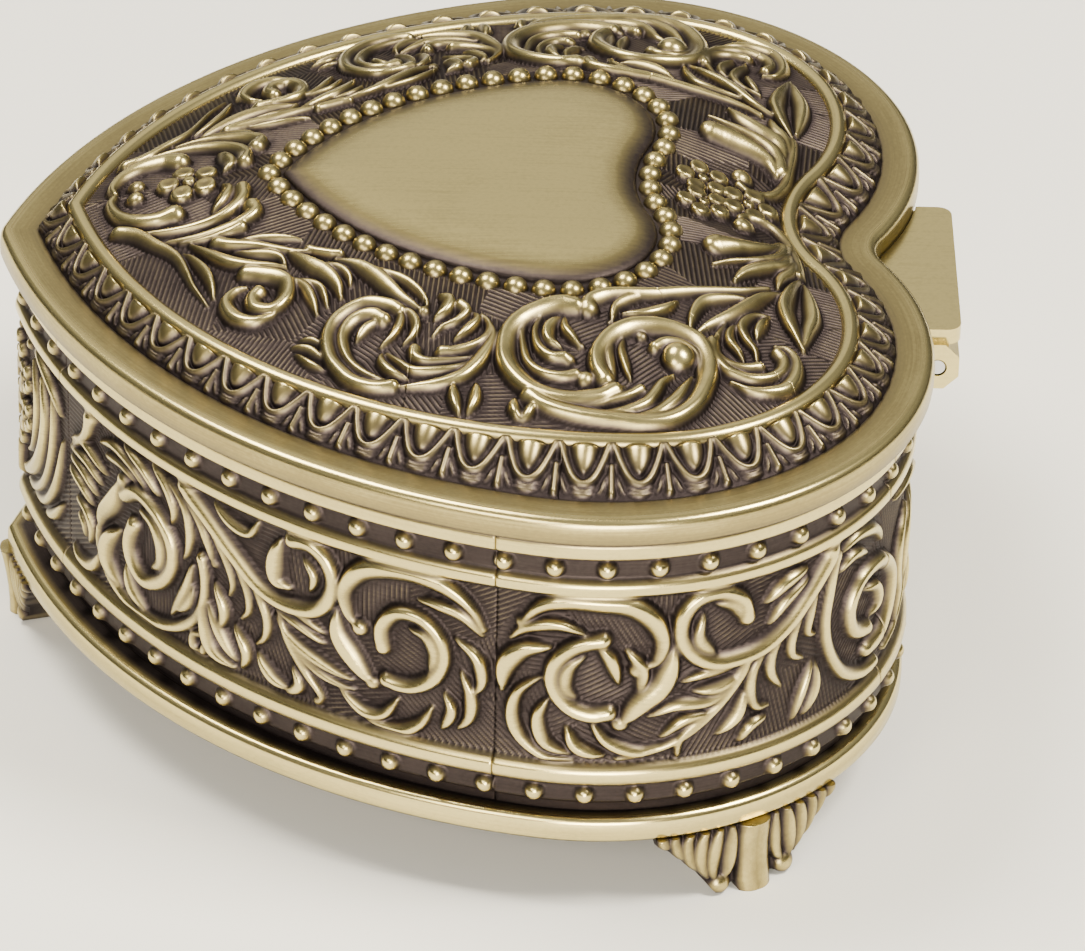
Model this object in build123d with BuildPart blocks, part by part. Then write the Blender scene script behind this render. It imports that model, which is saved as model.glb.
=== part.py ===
from build123d import *

import os
from math import atan2, cos, degrees, radians, sin, sqrt
from typing import NamedTuple


class Heart(NamedTuple):
    """Heart in plan, symmetric about x = 0, made of tangent arcs, with its tip towards -Y."""

    lobe_x: float
    lobe_y: float
    lobe_r: float
    side_r: float
    cleft_r: float
    tip_y: float
    tip_r: float


# Plan shapes: the lid's edge, the base plate, the rib on the lid, and the ring of beads round the plaque
EDGE = Heart(lobe_x=15.6, lobe_y=10.05, lobe_r=27.4, side_r=58.7, cleft_r=4.3, tip_y=-40.0, tip_r=3.4)
BASE = Heart(lobe_x=15.6, lobe_y=10.05, lobe_r=26.16, side_r=57.4, cleft_r=5.54, tip_y=-40.0, tip_r=1.0)
RIB = Heart(lobe_x=16.5, lobe_y=12.7, lobe_r=17.7, side_r=46.2, cleft_r=14.0, tip_y=-33.6, tip_r=1.5)
RING = Heart(lobe_x=8.55, lobe_y=6.7, lobe_r=9.1, side_r=29.8, cleft_r=13.1, tip_y=-17.5, tip_r=1.6)
SHARPEST_TIP = 0.5

# Heights above the surface that the box stands on
FOOT_TOP = 6.4
BASE_TOP = 8.7
PLINTH_TOP = 9.6
WALL_TOP = 35.5
LID_BOTTOM = 35.9
LID_LEDGE = 38.2
RIB_BASE = 40.3
RIB_TOP = 40.9
FIELD_TOP = 44.0
PLAQUE_TOP = 45.0

# Insets from the lid's edge
WALL_INNER = 3.6
LINING_OUTER = 3.75
LINING_INNER = 4.75
LINING_TOP = 34.2
LID_LEDGE_INSET = 3.4
LID_LINING_INSET = 3.9

# Lid: bevel of its edge, rib, hollow underside and plaque
LID_BEVEL = 0.4
RIB_HALF_WIDTH = 0.7
RIB_DEPTH = 0.8
BEAD_CHANNEL = 1.1
HOLLOW_RISE = 0.9
HOLLOW_RIB_INSET, HOLLOW_RIB_Z = 1.0, 38.9
HOLLOW_RING_INSET, HOLLOW_TOP_Z = 0.4, 42.2
PLAQUE_SEAT_INSET, PLAQUE_SEAT_DEPTH = 1.0, 0.7

# Cast wall, from the bottom up: top of each band and how far it stands inside the lid's edge
WALL_BANDS = [(9.8, 2.3), (11.8, 1.9), (13.6, 1.2), (30.2, 2.0), (31.5, 1.2), (33.4, 1.9), (WALL_TOP, 0.9)]

# Panel joints round the wall: angle about the side arc's centre or about the lobe's centre
TIP_SEAM = -62.5
SIDE_SEAM = -14.8
LOBE_SEAM = 64.8

# Hinge
PIN_R = 0.75
PIN_Y = 38.1
PIN_Z = 33.0
PRESS_CLEARANCE = 0.01
RUNNING_CLEARANCE = 0.05
KNUCKLE_R = 1.6
KNUCKLE_HALF = 6.6
EAR_IN, EAR_OUT = 7.0, 10.6
EAR_HALF_DEPTH = 1.8
EAR_BOTTOM, EAR_TOP = 31.0, 35.2
LEAF_HALF = 9.95
LEAF_FRONT, LEAF_BACK = 31.4, 40.0
LEAF_UNDER, LEAF_OUTER_TOP = 34.9, 36.3
HINGE_GAP = 0.3
SEAT_INSET = 2.2
WALL_SEAT_Y = 30.0

# Feet: right half of the outline seen from outside, insets from the base's edge, and the boss for the screw
LOBE_FOOT_OUTLINE = [(0, 0), (1.7, 0), (1.3, 1.2), (3.9, 0.9), (5.6, 3.0), (8.0, FOOT_TOP), (0, FOOT_TOP)]
TIP_FOOT_OUTLINE = [(0, 0), (1.4, 0), (1.2, 1.0), (2.1, 0.9), (3.0, 2.6), (4.2, FOOT_TOP), (0, FOOT_TOP)]
FOOT_OUTER, FOOT_INNER = 0.8, 3.6
FOOT_REACH = 12.0
LOBE_FOOT_ANGLE = 31.0
BOSS_SETBACK = 8.6
BOSS_R = 2.4
BOSS_BOTTOM = 3.0
BOSS_RIB_START = 3.0
BOSS_RIB_WIDTH = 3.2

# Screws
FOOT_SCREW_R = 0.95
SMALL_SCREW_R = 0.68
BRACKET_SCREW_X = 2.4
BRACKET_SCREW_REACH = 5.8
SCREW_HOLE_CLEARANCE = 0.04
LEAF_SCREW_AT = (7.2, 34.3)
LEAF_SCREW_HOLE_DEPTH = 1.7
BRACKET_SCREW_PLANES = [Plane((x, 30.6, PIN_Z), z_dir=(0, -1, 0)) for x in (-BRACKET_SCREW_X, BRACKET_SCREW_X)]

os.makedirs("parts", exist_ok=True)


def arc_centres(shape, inset=0.0):
    """Centres of the side, lobe, cleft and tip arcs of the right half, and the tip's radius."""
    reach_lobe = shape.side_r - shape.lobe_r
    reach_tip = shape.side_r - shape.tip_r
    tip = Vector(0, shape.tip_y + shape.tip_r)
    lobe = Vector(shape.lobe_x, shape.lobe_y)
    apart = (lobe - tip).length
    along = (reach_tip**2 - reach_lobe**2 + apart**2) / (2 * apart)
    across = sqrt(reach_tip**2 - along**2)
    unit = (lobe - tip).normalized()
    side = tip + unit * along + Vector(-unit.Y, unit.X) * across
    cleft = Vector(0, shape.lobe_y + sqrt((shape.lobe_r + shape.cleft_r) ** 2 - shape.lobe_x**2))
    tip_r = max(shape.tip_r - inset, SHARPEST_TIP)
    tip = Vector(0, side.Y - sqrt((shape.side_r - inset - tip_r) ** 2 - side.X**2))
    return side, lobe, cleft, tip, tip_r


def heading(start, end):
    """Direction from start to end in degrees."""
    return degrees(atan2(end.Y - start.Y, end.X - start.X))


def heart(shape, inset=0.0):
    """The heart as a flat sketch, moved inwards by inset."""
    side, lobe, cleft, tip, tip_r = arc_centres(shape, inset)
    at_tip = heading(side, tip)
    at_lobe = heading(side, lobe)
    at_cleft = heading(lobe, cleft)
    cleft_end = heading(cleft, lobe)
    side_r = shape.side_r - inset
    lobe_r = shape.lobe_r - inset
    with BuildSketch() as outline:
        with BuildLine():
            CenterArc((0, tip.Y), tip_r, -180 - at_tip, 2 * (at_tip + 90))
            CenterArc((side.X, side.Y), side_r, at_tip, at_lobe - at_tip)
            CenterArc((lobe.X, lobe.Y), lobe_r, at_lobe, at_cleft - at_lobe)
            CenterArc((0, cleft.Y), shape.cleft_r + inset, -180 - cleft_end, 2 * (cleft_end + 90))
            CenterArc((-lobe.X, lobe.Y), lobe_r, 180 - at_cleft, at_cleft - at_lobe)
            CenterArc((-side.X, side.Y), side_r, 180 - at_lobe, at_lobe - at_tip)
        make_face()
    return outline.sketch


def slab(shape, inset, low, high):
    """A straight-sided heart between two heights."""
    with BuildPart() as solid:
        with BuildSketch(Plane.XY.offset(low)):
            add(heart(shape, inset))
        extrude(amount=high - low)
    return solid.part


def slope(lower, upper):
    """A sloping solid between two hearts, each given as (shape, inset, height)."""
    with BuildPart() as solid:
        for shape, inset, height in (lower, upper):
            with BuildSketch(Plane.XY.offset(height)):
                add(heart(shape, inset))
        loft(ruled=True)
    return solid.part


def block(x, y, z):
    """A box given by its range along each axis."""
    with BuildPart() as solid:
        with Locations(((x[0] + x[1]) / 2, (y[0] + y[1]) / 2, (z[0] + z[1]) / 2)):
            Box(x[1] - x[0], y[1] - y[0], z[1] - z[0])
    return solid.part


def finish(piece, name):
    """Label a finished piece and write it."""
    piece.label = name
    export_step(piece, f"parts/{name}.step")


# ---------------------------------------------------------------- lid

with BuildPart() as lid_cover:
    add(slab(EDGE, 0, LID_BOTTOM, LID_LEDGE))
    chamfer(lid_cover.edges().group_by(Axis.Z)[-1], LID_BEVEL)
    add(slope((EDGE, LID_LEDGE_INSET, LID_LEDGE), (RIB, 0, RIB_BASE)))
    add(slope((RIB, 0, RIB_BASE), (RING, -BEAD_CHANNEL, FIELD_TOP)))
    with BuildSketch(Plane.XY.offset(RIB_BASE - RIB_DEPTH)):
        add(heart(RIB, -RIB_HALF_WIDTH))
        add(heart(RIB, RIB_HALF_WIDTH), mode=Mode.SUBTRACT)
    extrude(amount=RIB_TOP - RIB_BASE + RIB_DEPTH)
    # Hollow underside, following the outside at an even wall thickness
    hollow_rim = (EDGE, LID_LEDGE_INSET, LID_BOTTOM + HOLLOW_RISE)
    hollow_rib = (RIB, HOLLOW_RIB_INSET, HOLLOW_RIB_Z)
    hollow_top = (RING, HOLLOW_RING_INSET, HOLLOW_TOP_Z)
    add(slab(EDGE, LID_LEDGE_INSET, LID_BOTTOM, LID_BOTTOM + HOLLOW_RISE), mode=Mode.SUBTRACT)
    add(slope(hollow_rim, hollow_rib), mode=Mode.SUBTRACT)
    add(slope(hollow_rib, hollow_top), mode=Mode.SUBTRACT)
    # Seat of the plaque, and blind holes for the hinge leaf's screws
    add(slab(RING, PLAQUE_SEAT_INSET, FIELD_TOP - PLAQUE_SEAT_DEPTH, FIELD_TOP), mode=Mode.SUBTRACT)
    with BuildSketch(Plane.XY.offset(LID_BOTTOM)):
        with Locations((-LEAF_SCREW_AT[0], LEAF_SCREW_AT[1]), LEAF_SCREW_AT):
            Circle(SMALL_SCREW_R + SCREW_HOLE_CLEARANCE)
    extrude(amount=LEAF_SCREW_HOLE_DEPTH, mode=Mode.SUBTRACT)
finish(lid_cover.part, "lid_cover")

with BuildPart() as lid_plaque:
    add(slab(RING, PLAQUE_SEAT_INSET + 0.1, FIELD_TOP - PLAQUE_SEAT_DEPTH, FIELD_TOP + 0.2))
    add(slope((RING, PLAQUE_SEAT_INSET + 0.1, FIELD_TOP + 0.2), (RING, 2.6, PLAQUE_TOP - 0.1)))
    add(slope((RING, 2.6, PLAQUE_TOP - 0.1), (RING, 4.5, PLAQUE_TOP)))
finish(lid_plaque.part, "lid_plaque")

with BuildPart() as lid_lining:
    add(slab(EDGE, LID_LINING_INSET, LID_BOTTOM + 0.2, LID_BOTTOM + 1.0))
finish(lid_lining.part, "lid_lining")


# ---------------------------------------------------------------- hinge

with BuildPart() as hinge_leaf:
    with BuildSketch(Plane.XY.offset(LEAF_UNDER)) as leaf_outline:
        with Locations((0, (LEAF_FRONT + LEAF_BACK) / 2)):
            Rectangle(2 * LEAF_HALF, LEAF_BACK - LEAF_FRONT)
        fillet(leaf_outline.vertices().group_by(Axis.Y)[-1], 1.2)
    extrude(amount=LID_BOTTOM - LEAF_UNDER)
    # Behind the lid's edge the leaf is thicker
    with BuildSketch(Plane.XY.offset(LID_BOTTOM)):
        add(leaf_outline.sketch)
        add(heart(EDGE, -0.15), mode=Mode.SUBTRACT)
    extrude(amount=LEAF_OUTER_TOP - LID_BOTTOM)
    # Ears on the pin, with their lower corners cut off so that they clear the wall
    with BuildSketch(Plane.YZ.offset(EAR_IN)) as ear:
        with Locations((PIN_Y, (EAR_BOTTOM + EAR_TOP) / 2)):
            Rectangle(2 * EAR_HALF_DEPTH, EAR_TOP - EAR_BOTTOM)
        chamfer(ear.vertices().group_by(Axis.Z)[0], 1.2)
        with Locations((PIN_Y, PIN_Z)):
            Circle(PIN_R + RUNNING_CLEARANCE, mode=Mode.SUBTRACT)
    extrude(amount=EAR_OUT - EAR_IN)
    mirror(about=Plane.YZ)
    with Locations(*[Plane((x, LEAF_SCREW_AT[1], LEAF_UNDER), z_dir=(0, 0, -1)) for x in
                     (-LEAF_SCREW_AT[0], LEAF_SCREW_AT[0])]):
        CounterSinkHole(SMALL_SCREW_R + SCREW_HOLE_CLEARANCE, 1.3, counter_sink_angle=90)
finish(hinge_leaf.part, "hinge_leaf")

with BuildPart() as hinge_pin:
    with BuildSketch(Plane.YZ.offset(-EAR_OUT + 0.1)):
        with Locations((PIN_Y, PIN_Z)):
            Circle(PIN_R)
    extrude(amount=2 * EAR_OUT - 0.2)
    chamfer(hinge_pin.edges().filter_by(GeomType.CIRCLE), 0.1)
finish(hinge_pin.part, "hinge_pin")

with BuildPart() as hinge_bracket:
    with BuildSketch(Plane.XY.offset(PIN_Z - KNUCKLE_R)):
        with Locations((0, (WALL_SEAT_Y + PIN_Y) / 2)):
            Rectangle(2 * KNUCKLE_HALF, PIN_Y - WALL_SEAT_Y)
        add(heart(EDGE, SEAT_INSET - 0.05), mode=Mode.SUBTRACT)
    extrude(amount=2 * KNUCKLE_R)
    with BuildSketch(Plane.YZ.offset(-KNUCKLE_HALF)):
        with Locations((PIN_Y, PIN_Z)):
            Circle(KNUCKLE_R)
    extrude(amount=2 * KNUCKLE_HALF)
    with BuildSketch(Plane.YZ.offset(-KNUCKLE_HALF)):
        with Locations((PIN_Y, PIN_Z)):
            Circle(PIN_R + PRESS_CLEARANCE)
    extrude(amount=2 * KNUCKLE_HALF, mode=Mode.SUBTRACT)
    with BuildSketch(Plane.XZ.offset(-WALL_SEAT_Y)):
        with Locations((-BRACKET_SCREW_X, PIN_Z), (BRACKET_SCREW_X, PIN_Z)):
            Circle(SMALL_SCREW_R + SCREW_HOLE_CLEARANCE)
    extrude(amount=-BRACKET_SCREW_REACH, mode=Mode.SUBTRACT)
finish(hinge_bracket.part, "hinge_bracket")


# ---------------------------------------------------------------- wall panels


def spoke(centre, angle, near, far):
    """Two points at an angle about a centre, at a near and a far distance."""
    ray = Vector(cos(radians(angle)), sin(radians(angle)))
    return centre + ray * near, centre + ray * far


def flipped(points):
    """The same points on the other side of x = 0, in reverse order."""
    return [Vector(-point.X, point.Y) for point in reversed(points)]


def wall_panel(corners):
    """The cast wall between two joints, cut out of the full ring by a polygon in plan."""
    with BuildPart() as panel:
        low = BASE_TOP
        for top, inset in WALL_BANDS:
            with BuildSketch(Plane.XY.offset(low)):
                add(heart(EDGE, inset))
                add(heart(EDGE, WALL_INNER), mode=Mode.SUBTRACT)
                with BuildLine():
                    Polyline(*corners, close=True)
                make_face(mode=Mode.INTERSECT)
            extrude(amount=top - low)
            low = top
    return panel.part


side_centre, lobe_centre = arc_centres(EDGE)[:2]
tip_in, tip_out = spoke(side_centre, TIP_SEAM, EDGE.side_r - 6, EDGE.side_r + 4)
side_in, side_out = spoke(side_centre, SIDE_SEAM, EDGE.side_r - 6, EDGE.side_r + 4)
lobe_in, lobe_out = spoke(lobe_centre, LOBE_SEAM, EDGE.lobe_r - 6, EDGE.lobe_r + 4)

tip_right = [Vector(0, -25), tip_in, tip_out, Vector(13, -46)]
side_right = [tip_in, tip_out, Vector(50, -45), side_out, side_in]
lobe_right = [side_in, side_out, Vector(60, 10), Vector(60, 50), Vector(26, 50), lobe_out, lobe_in]
back_right = [lobe_in, lobe_out, Vector(26, 50)]

with BuildPart() as wall_tip:
    add(wall_panel(tip_right + flipped(tip_right[1:])))
finish(wall_tip.part, "wall_tip")

for name, corners in (("wall_side", side_right), ("wall_lobe", lobe_right)):
    for hand, outline in (("right", corners), ("left", flipped(corners))):
        with BuildPart() as wall:
            add(wall_panel(outline))
        finish(wall.part, f"{name}_{hand}")

with BuildPart() as wall_back:
    add(wall_panel(back_right + flipped(back_right) + [Vector(0, 22)]))
    # Notch under the hinge leaf, pocket for the bracket, and relief behind the ears
    add(block((-LEAF_HALF - HINGE_GAP, LEAF_HALF + HINGE_GAP), (LEAF_FRONT - HINGE_GAP, 45),
              (LEAF_UNDER - HINGE_GAP, WALL_TOP + 1)), mode=Mode.SUBTRACT)
    add(block((-EAR_OUT - HINGE_GAP, EAR_OUT + HINGE_GAP), (PIN_Y - 2.5, 45),
              (EAR_BOTTOM - 0.7, WALL_TOP + 1)), mode=Mode.SUBTRACT)
    with BuildSketch(Plane.XY.offset(PIN_Z - KNUCKLE_R - 0.1)):
        with Locations((0, PIN_Y - 4)):
            Rectangle(2 * KNUCKLE_HALF + 0.3, 16)
        add(heart(EDGE, SEAT_INSET), mode=Mode.SUBTRACT)
    extrude(amount=5, mode=Mode.SUBTRACT)
    # Countersunk holes, entered from inside the box
    with Locations(*BRACKET_SCREW_PLANES):
        CounterSinkHole(SMALL_SCREW_R + 0.1, 1.35, counter_sink_angle=90, depth=6)
finish(wall_back.part, "wall_back")


# ---------------------------------------------------------------- base plate and feet


def foot_plane(outline_point, direction):
    """Upright plane across a foot: its x runs along the base's edge and its z points outwards."""
    outward = Vector(cos(radians(direction)), sin(radians(direction)))
    return Plane(outline_point, x_dir=Vector(-outward.Y, outward.X), z_dir=outward)


tip_point = Vector(0, BASE.tip_y)
lobe_point = spoke(lobe_centre, LOBE_FOOT_ANGLE, 0, BASE.lobe_r)[1]
foot_planes = {
    "foot_tip": foot_plane(tip_point, -90),
    "foot_right": foot_plane(lobe_point, LOBE_FOOT_ANGLE),
    "foot_left": foot_plane(Vector(-lobe_point.X, lobe_point.Y), 180 - LOBE_FOOT_ANGLE),
}
boss_points = [plane.origin - plane.z_dir * BOSS_SETBACK for plane in foot_planes.values()]


def foot(plane, half_outline):
    """A cast foot: plain rib between two leaf-shaped wings, with a boss behind for its screw."""
    with BuildPart() as casting:
        with BuildSketch(plane) as front:
            with BuildLine():
                Polyline(*half_outline)
                mirror(about=Plane.YZ)
            make_face()
        extrude(amount=-FOOT_REACH)
        with BuildSketch():
            add(heart(BASE, FOOT_OUTER))
            add(heart(BASE, FOOT_INNER), mode=Mode.SUBTRACT)
        extrude(amount=FOOT_TOP, mode=Mode.INTERSECT)
        boss = plane.origin - plane.z_dir * BOSS_SETBACK
        with BuildSketch(Plane.XY.offset(BOSS_BOTTOM)):
            with Locations(boss):
                Circle(BOSS_R)
            middle = plane.origin - plane.z_dir * (BOSS_SETBACK + BOSS_RIB_START) / 2
            with Locations(Plane(middle, x_dir=plane.z_dir)):
                Rectangle(BOSS_SETBACK - BOSS_RIB_START, BOSS_RIB_WIDTH)
        extrude(amount=FOOT_TOP - BOSS_BOTTOM)
        with BuildSketch(Plane.XY.offset(FOOT_TOP)):
            with Locations(boss):
                Circle(FOOT_SCREW_R + 0.05)
        extrude(amount=-2.8, mode=Mode.SUBTRACT)
    return casting.part


for name, plane in foot_planes.items():
    with BuildPart() as foot_casting:
        add(foot(plane, TIP_FOOT_OUTLINE if name == "foot_tip" else LOBE_FOOT_OUTLINE))
    finish(foot_casting.part, name)

with BuildPart() as base_plate:
    add(slab(BASE, 0, FOOT_TOP, BASE_TOP))
    chamfer(base_plate.edges().group_by(Axis.Z)[-1], 0.4)
    add(slab(EDGE, WALL_INNER + 0.15, BASE_TOP, PLINTH_TOP))
    with Locations(*[Vector(point.X, point.Y, PLINTH_TOP) for point in boss_points]):
        CounterSinkHole(FOOT_SCREW_R + 0.15, 2.05, counter_sink_angle=90)
finish(base_plate.part, "base_plate")


# ---------------------------------------------------------------- screws


def countersunk_screw(shank_r, head_r, length):
    """A slotted countersunk screw, its head flush with z = 0 and its shank pointing down."""
    cone = head_r - shank_r
    with BuildPart() as screw:
        with BuildSketch(Plane.XZ):
            with BuildLine():
                Polyline((0, 0), (head_r, 0), (shank_r, -cone), (shank_r, -length), (0, -length), close=True)
            make_face()
        revolve(axis=Axis.Z)
        Box(3 * head_r, 0.22 * head_r, 0.5 * cone, align=(Align.CENTER, Align.CENTER, Align.MAX),
            mode=Mode.SUBTRACT)
    return screw.part


def screw_group(shape, places):
    """Copies of one screw, each a separate solid."""
    with BuildPart() as group:
        with Locations(*places):
            add(shape)
    return group.part


foot_screw = countersunk_screw(FOOT_SCREW_R, 1.95, 5.4)
foot_screw_places = [Vector(point.X, point.Y, PLINTH_TOP - 0.1) for point in boss_points]
finish(screw_group(foot_screw, foot_screw_places), "foot_screws")

bracket_screw = countersunk_screw(SMALL_SCREW_R, 1.3, 4.8)
bracket_screw_places = [Plane(plane.origin + Vector(0, 0.05), x_dir=plane.x_dir, z_dir=plane.z_dir)
                        for plane in BRACKET_SCREW_PLANES]
finish(screw_group(bracket_screw, bracket_screw_places), "bracket_screws")

leaf_screw = countersunk_screw(SMALL_SCREW_R, 1.25, 2.5)
leaf_screw_places = [Plane((x, LEAF_SCREW_AT[1], LEAF_UNDER + 0.05), z_dir=(0, 0, -1))
                     for x in (-LEAF_SCREW_AT[0], LEAF_SCREW_AT[0])]
finish(screw_group(leaf_screw, leaf_screw_places), "leaf_screws")


# ---------------------------------------------------------------- linings of the box

with BuildPart() as floor_lining:
    add(slab(EDGE, LINING_INNER + 0.15, PLINTH_TOP, PLINTH_TOP + 1.8))
finish(floor_lining.part, "floor_lining")

for hand, along_x in (("right", (0.1, 50)), ("left", (-50, -0.1))):
    with BuildPart() as wall_lining:
        add(slab(EDGE, LINING_OUTER, PLINTH_TOP, LINING_TOP))
        add(slab(EDGE, LINING_INNER, PLINTH_TOP, LINING_TOP), mode=Mode.SUBTRACT)
        add(block(along_x, (-50, 50), (0, 50)), mode=Mode.INTERSECT)
    finish(wall_lining.part, f"wall_lining_{hand}")
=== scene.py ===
from math import atan2, cos, pi, radians, sin, sqrt

import bpy
import numpy as np
from mathutils import Matrix, Vector


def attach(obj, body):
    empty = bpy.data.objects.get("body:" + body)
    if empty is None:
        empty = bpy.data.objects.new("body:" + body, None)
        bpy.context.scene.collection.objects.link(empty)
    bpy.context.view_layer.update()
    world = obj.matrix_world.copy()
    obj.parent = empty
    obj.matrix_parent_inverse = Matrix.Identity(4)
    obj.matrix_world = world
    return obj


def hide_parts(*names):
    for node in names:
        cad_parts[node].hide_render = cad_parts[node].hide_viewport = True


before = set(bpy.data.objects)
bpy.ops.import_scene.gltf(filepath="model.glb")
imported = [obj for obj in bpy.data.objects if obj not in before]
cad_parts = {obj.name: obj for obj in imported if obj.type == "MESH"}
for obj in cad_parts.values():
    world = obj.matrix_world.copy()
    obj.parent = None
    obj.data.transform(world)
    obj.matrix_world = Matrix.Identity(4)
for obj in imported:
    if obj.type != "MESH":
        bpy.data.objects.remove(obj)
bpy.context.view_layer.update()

MM = 0.001


# ---------------------------------------------------------------- plan shapes, in millimetres


class Heart:
    """Heart of tangent arcs, symmetric about x = 0: tip, side, lobe and cleft arcs on each side."""

    def __init__(self, lobe, lobe_r, side_r, cleft_r, tip_y, tip_r):
        self.lobe = np.array(lobe)
        self.lobe_r, self.side_r, self.cleft_r, self.tip_r = lobe_r, side_r, cleft_r, tip_r
        tip = np.array([0.0, tip_y + tip_r])
        apart = np.linalg.norm(self.lobe - tip)
        to_lobe, to_tip = side_r - lobe_r, side_r - tip_r
        along = (to_tip**2 - to_lobe**2 + apart**2) / (2 * apart)
        unit = (self.lobe - tip) / apart
        across = sqrt(to_tip**2 - along**2)
        self.side = tip + unit * along + np.array([-unit[1], unit[0]]) * across
        self.cleft = np.array([0.0, lobe[1] + sqrt((lobe_r + cleft_r) ** 2 - lobe[0] ** 2)])

    def arcs(self, inset):
        """Centre, radius, first and last angle of the four arcs of the right half, from the tip."""
        tip_r = max(self.tip_r - inset, 0.4)
        tip_y = self.side[1] - sqrt((self.side_r - inset - tip_r) ** 2 - self.side[0] ** 2)
        tip = np.array([0.0, tip_y])
        at_tip = atan2(*(tip - self.side)[::-1])
        at_lobe = atan2(*(self.lobe - self.side)[::-1])
        at_cleft = atan2(*(self.cleft - self.lobe)[::-1])
        from_cleft = at_cleft - pi
        return [(tip, tip_r, -pi / 2, at_tip), (self.side, self.side_r - inset, at_tip, at_lobe),
                (self.lobe, self.lobe_r - inset, at_lobe, at_cleft),
                (self.cleft, self.cleft_r + inset, from_cleft, -pi / 2)]

    def half(self, inset, columns):
        """Points of the right half, from the tip to the cleft, at the given columns."""
        return self.sampled(inset, columns, lambda number, centre, radius, ray: centre + radius * ray)

    def normals(self, columns):
        """Outward directions at the given columns. The cleft's arc (number 3) is seen from outside."""
        return self.sampled(0, columns, lambda number, centre, radius, ray: -ray if number == 3 else ray)

    def sampled(self, inset, columns, value):
        """What value(arc number, centre, radius, direction from the centre) gives at each column."""
        out = np.zeros((len(columns), 2))
        for number, (centre, radius, first, last) in enumerate(self.arcs(inset)):
            here = columns[:, 0] == number
            angle = first + (last - first) * columns[here, 1]
            out[here] = value(number, centre, radius, np.stack([np.cos(angle), np.sin(angle)], 1))
        return out


EDGE = Heart((15.6, 10.05), 27.4, 58.7, 4.3, -40.0, 3.4)       # outside of the lid's rim
BASE = Heart((15.6, 10.05), 26.16, 57.4, 5.54, -40.0, 1.0)     # outside of the base plate
RIB = Heart((16.5, 12.7), 17.7, 46.2, 14.0, -33.6, 1.5)        # rib round the lid's ornament
RING = Heart((8.55, 6.7), 9.1, 29.8, 13.1, -17.5, 1.6)         # ring of beads round the plaque
ARC_WEIGHTS = (1.2, 64, 63, 6.5)       # share of the columns on the tip, side, lobe and cleft arcs


def half_columns(count):
    """Columns along the right half: the arc each lies on and how far along that arc."""
    share = np.cumsum(ARC_WEIGHTS) / sum(ARC_WEIGHTS)
    place = np.linspace(0, 1, count)
    arc = np.minimum(np.searchsorted(share, place, side="left"), 3)
    start = np.concatenate([[0], share[:-1]])[arc]
    return np.stack([arc, (place - start) / (share[arc] - start)], 1)


def both_halves(grid, flip_x=True):
    """A closed loop of columns from the right half's: the left half is its mirror image."""
    left = grid[-2:0:-1].copy()
    if flip_x:
        left[..., 0] *= -1
    return np.concatenate([grid, left])


def stretch_of(grid, first, last):
    """Columns first to last of a closed loop, passing through column 0 when first is below it."""
    return np.take(grid, np.arange(first, last + 1), axis=0, mode="wrap")


def lift(points, z):
    """Plan points with a height, or with one height for each."""
    return np.concatenate([points, np.broadcast_to(z, points.shape[:-1])[..., None]], -1)


def length_along(points):
    """Distance along a line of points, from the first."""
    steps = np.linalg.norm(np.diff(points, axis=0), axis=1)
    return np.concatenate([[0], np.cumsum(steps)])


# ---------------------------------------------------------------- meshes


def make_object(name, verts, faces, body, material, wear_and_shade=None, flat=()):
    """A mesh piece in millimetres, riding on a body. Faces whose number is in flat are flat-shaded."""
    mesh = bpy.data.meshes.new(name)
    mesh.from_pydata((np.asarray(verts) * MM).tolist(), [], faces)
    mesh.materials.append(material)
    smooth = np.ones(len(mesh.polygons), bool)
    smooth[list(flat)] = False
    mesh.polygons.foreach_set("use_smooth", smooth)
    # The wear_and_shade attribute: rubbed brass and patina, and in some rows painted shade
    if wear_and_shade is not None:
        attribute = mesh.attributes.new("wear_and_shade", "FLOAT", "POINT")
        attribute.data.foreach_set("value", np.asarray(wear_and_shade, np.float32))
    mesh.update()
    piece = bpy.data.objects.new(name, mesh)
    bpy.context.collection.objects.link(piece)
    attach(piece, body)
    return piece


def add_grain(piece, grain):
    """Places for the brushing to follow: along, across and up, one for each vertex, in millimetres."""
    attribute = piece.data.attributes.new("grain", "FLOAT_VECTOR", "POINT")
    attribute.data.foreach_set("vector", (np.asarray(grain, np.float32) * MM).ravel())


def grid_solid(name, top, low, wear_and_shade, body, material):
    """A closed solid with a fine top grid (n, m, 3), standing on two lower edges low (n, 2, 3)."""
    n, m = top.shape[:2]
    base = n * m
    i = np.arange(n - 1)
    k = i + 1
    corner = (i[:, None] * m + np.arange(m - 1)).ravel()
    quads = [np.stack([corner, corner + m, corner + m + 1, corner + 1], -1),
             np.stack([i * m, base + 2 * i, base + 2 * k, k * m], -1),
             np.stack([k * m + m - 1, base + 2 * k + 1, base + 2 * i + 1, i * m + m - 1], -1),
             np.stack([base + 2 * i, base + 2 * i + 1, base + 2 * k + 1, base + 2 * k], -1)]
    faces = np.concatenate(quads).tolist()
    faces.append([*range(m), base + 1, base])
    faces.append([base + 2 * n - 2, base + 2 * n - 1, *range(n * m - 1, n * m - m - 1, -1)])
    flat = range(len(faces) - 2 - 3 * len(i), len(faces))
    verts = np.concatenate([top.reshape(-1, 3), low.reshape(-1, 3)])
    shade = np.concatenate([wear_and_shade.ravel(), np.full(2 * n, 0.5)])
    return make_object(name, verts, faces, body, material, shade, flat)


def grid_solids(spans, top, low, wear_and_shade, body, material):
    """Solids from the right half's grids, mirrored to the whole loop and cut at spans of columns."""
    tops, lows, wear_and_shade_halves = both_halves(top), both_halves(low), both_halves(wear_and_shade, False)
    return [grid_solid(name, stretch_of(tops, *span), stretch_of(lows, *span), stretch_of(wear_and_shade_halves, *span),
                       body, material) for name, span in spans.items()]


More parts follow.
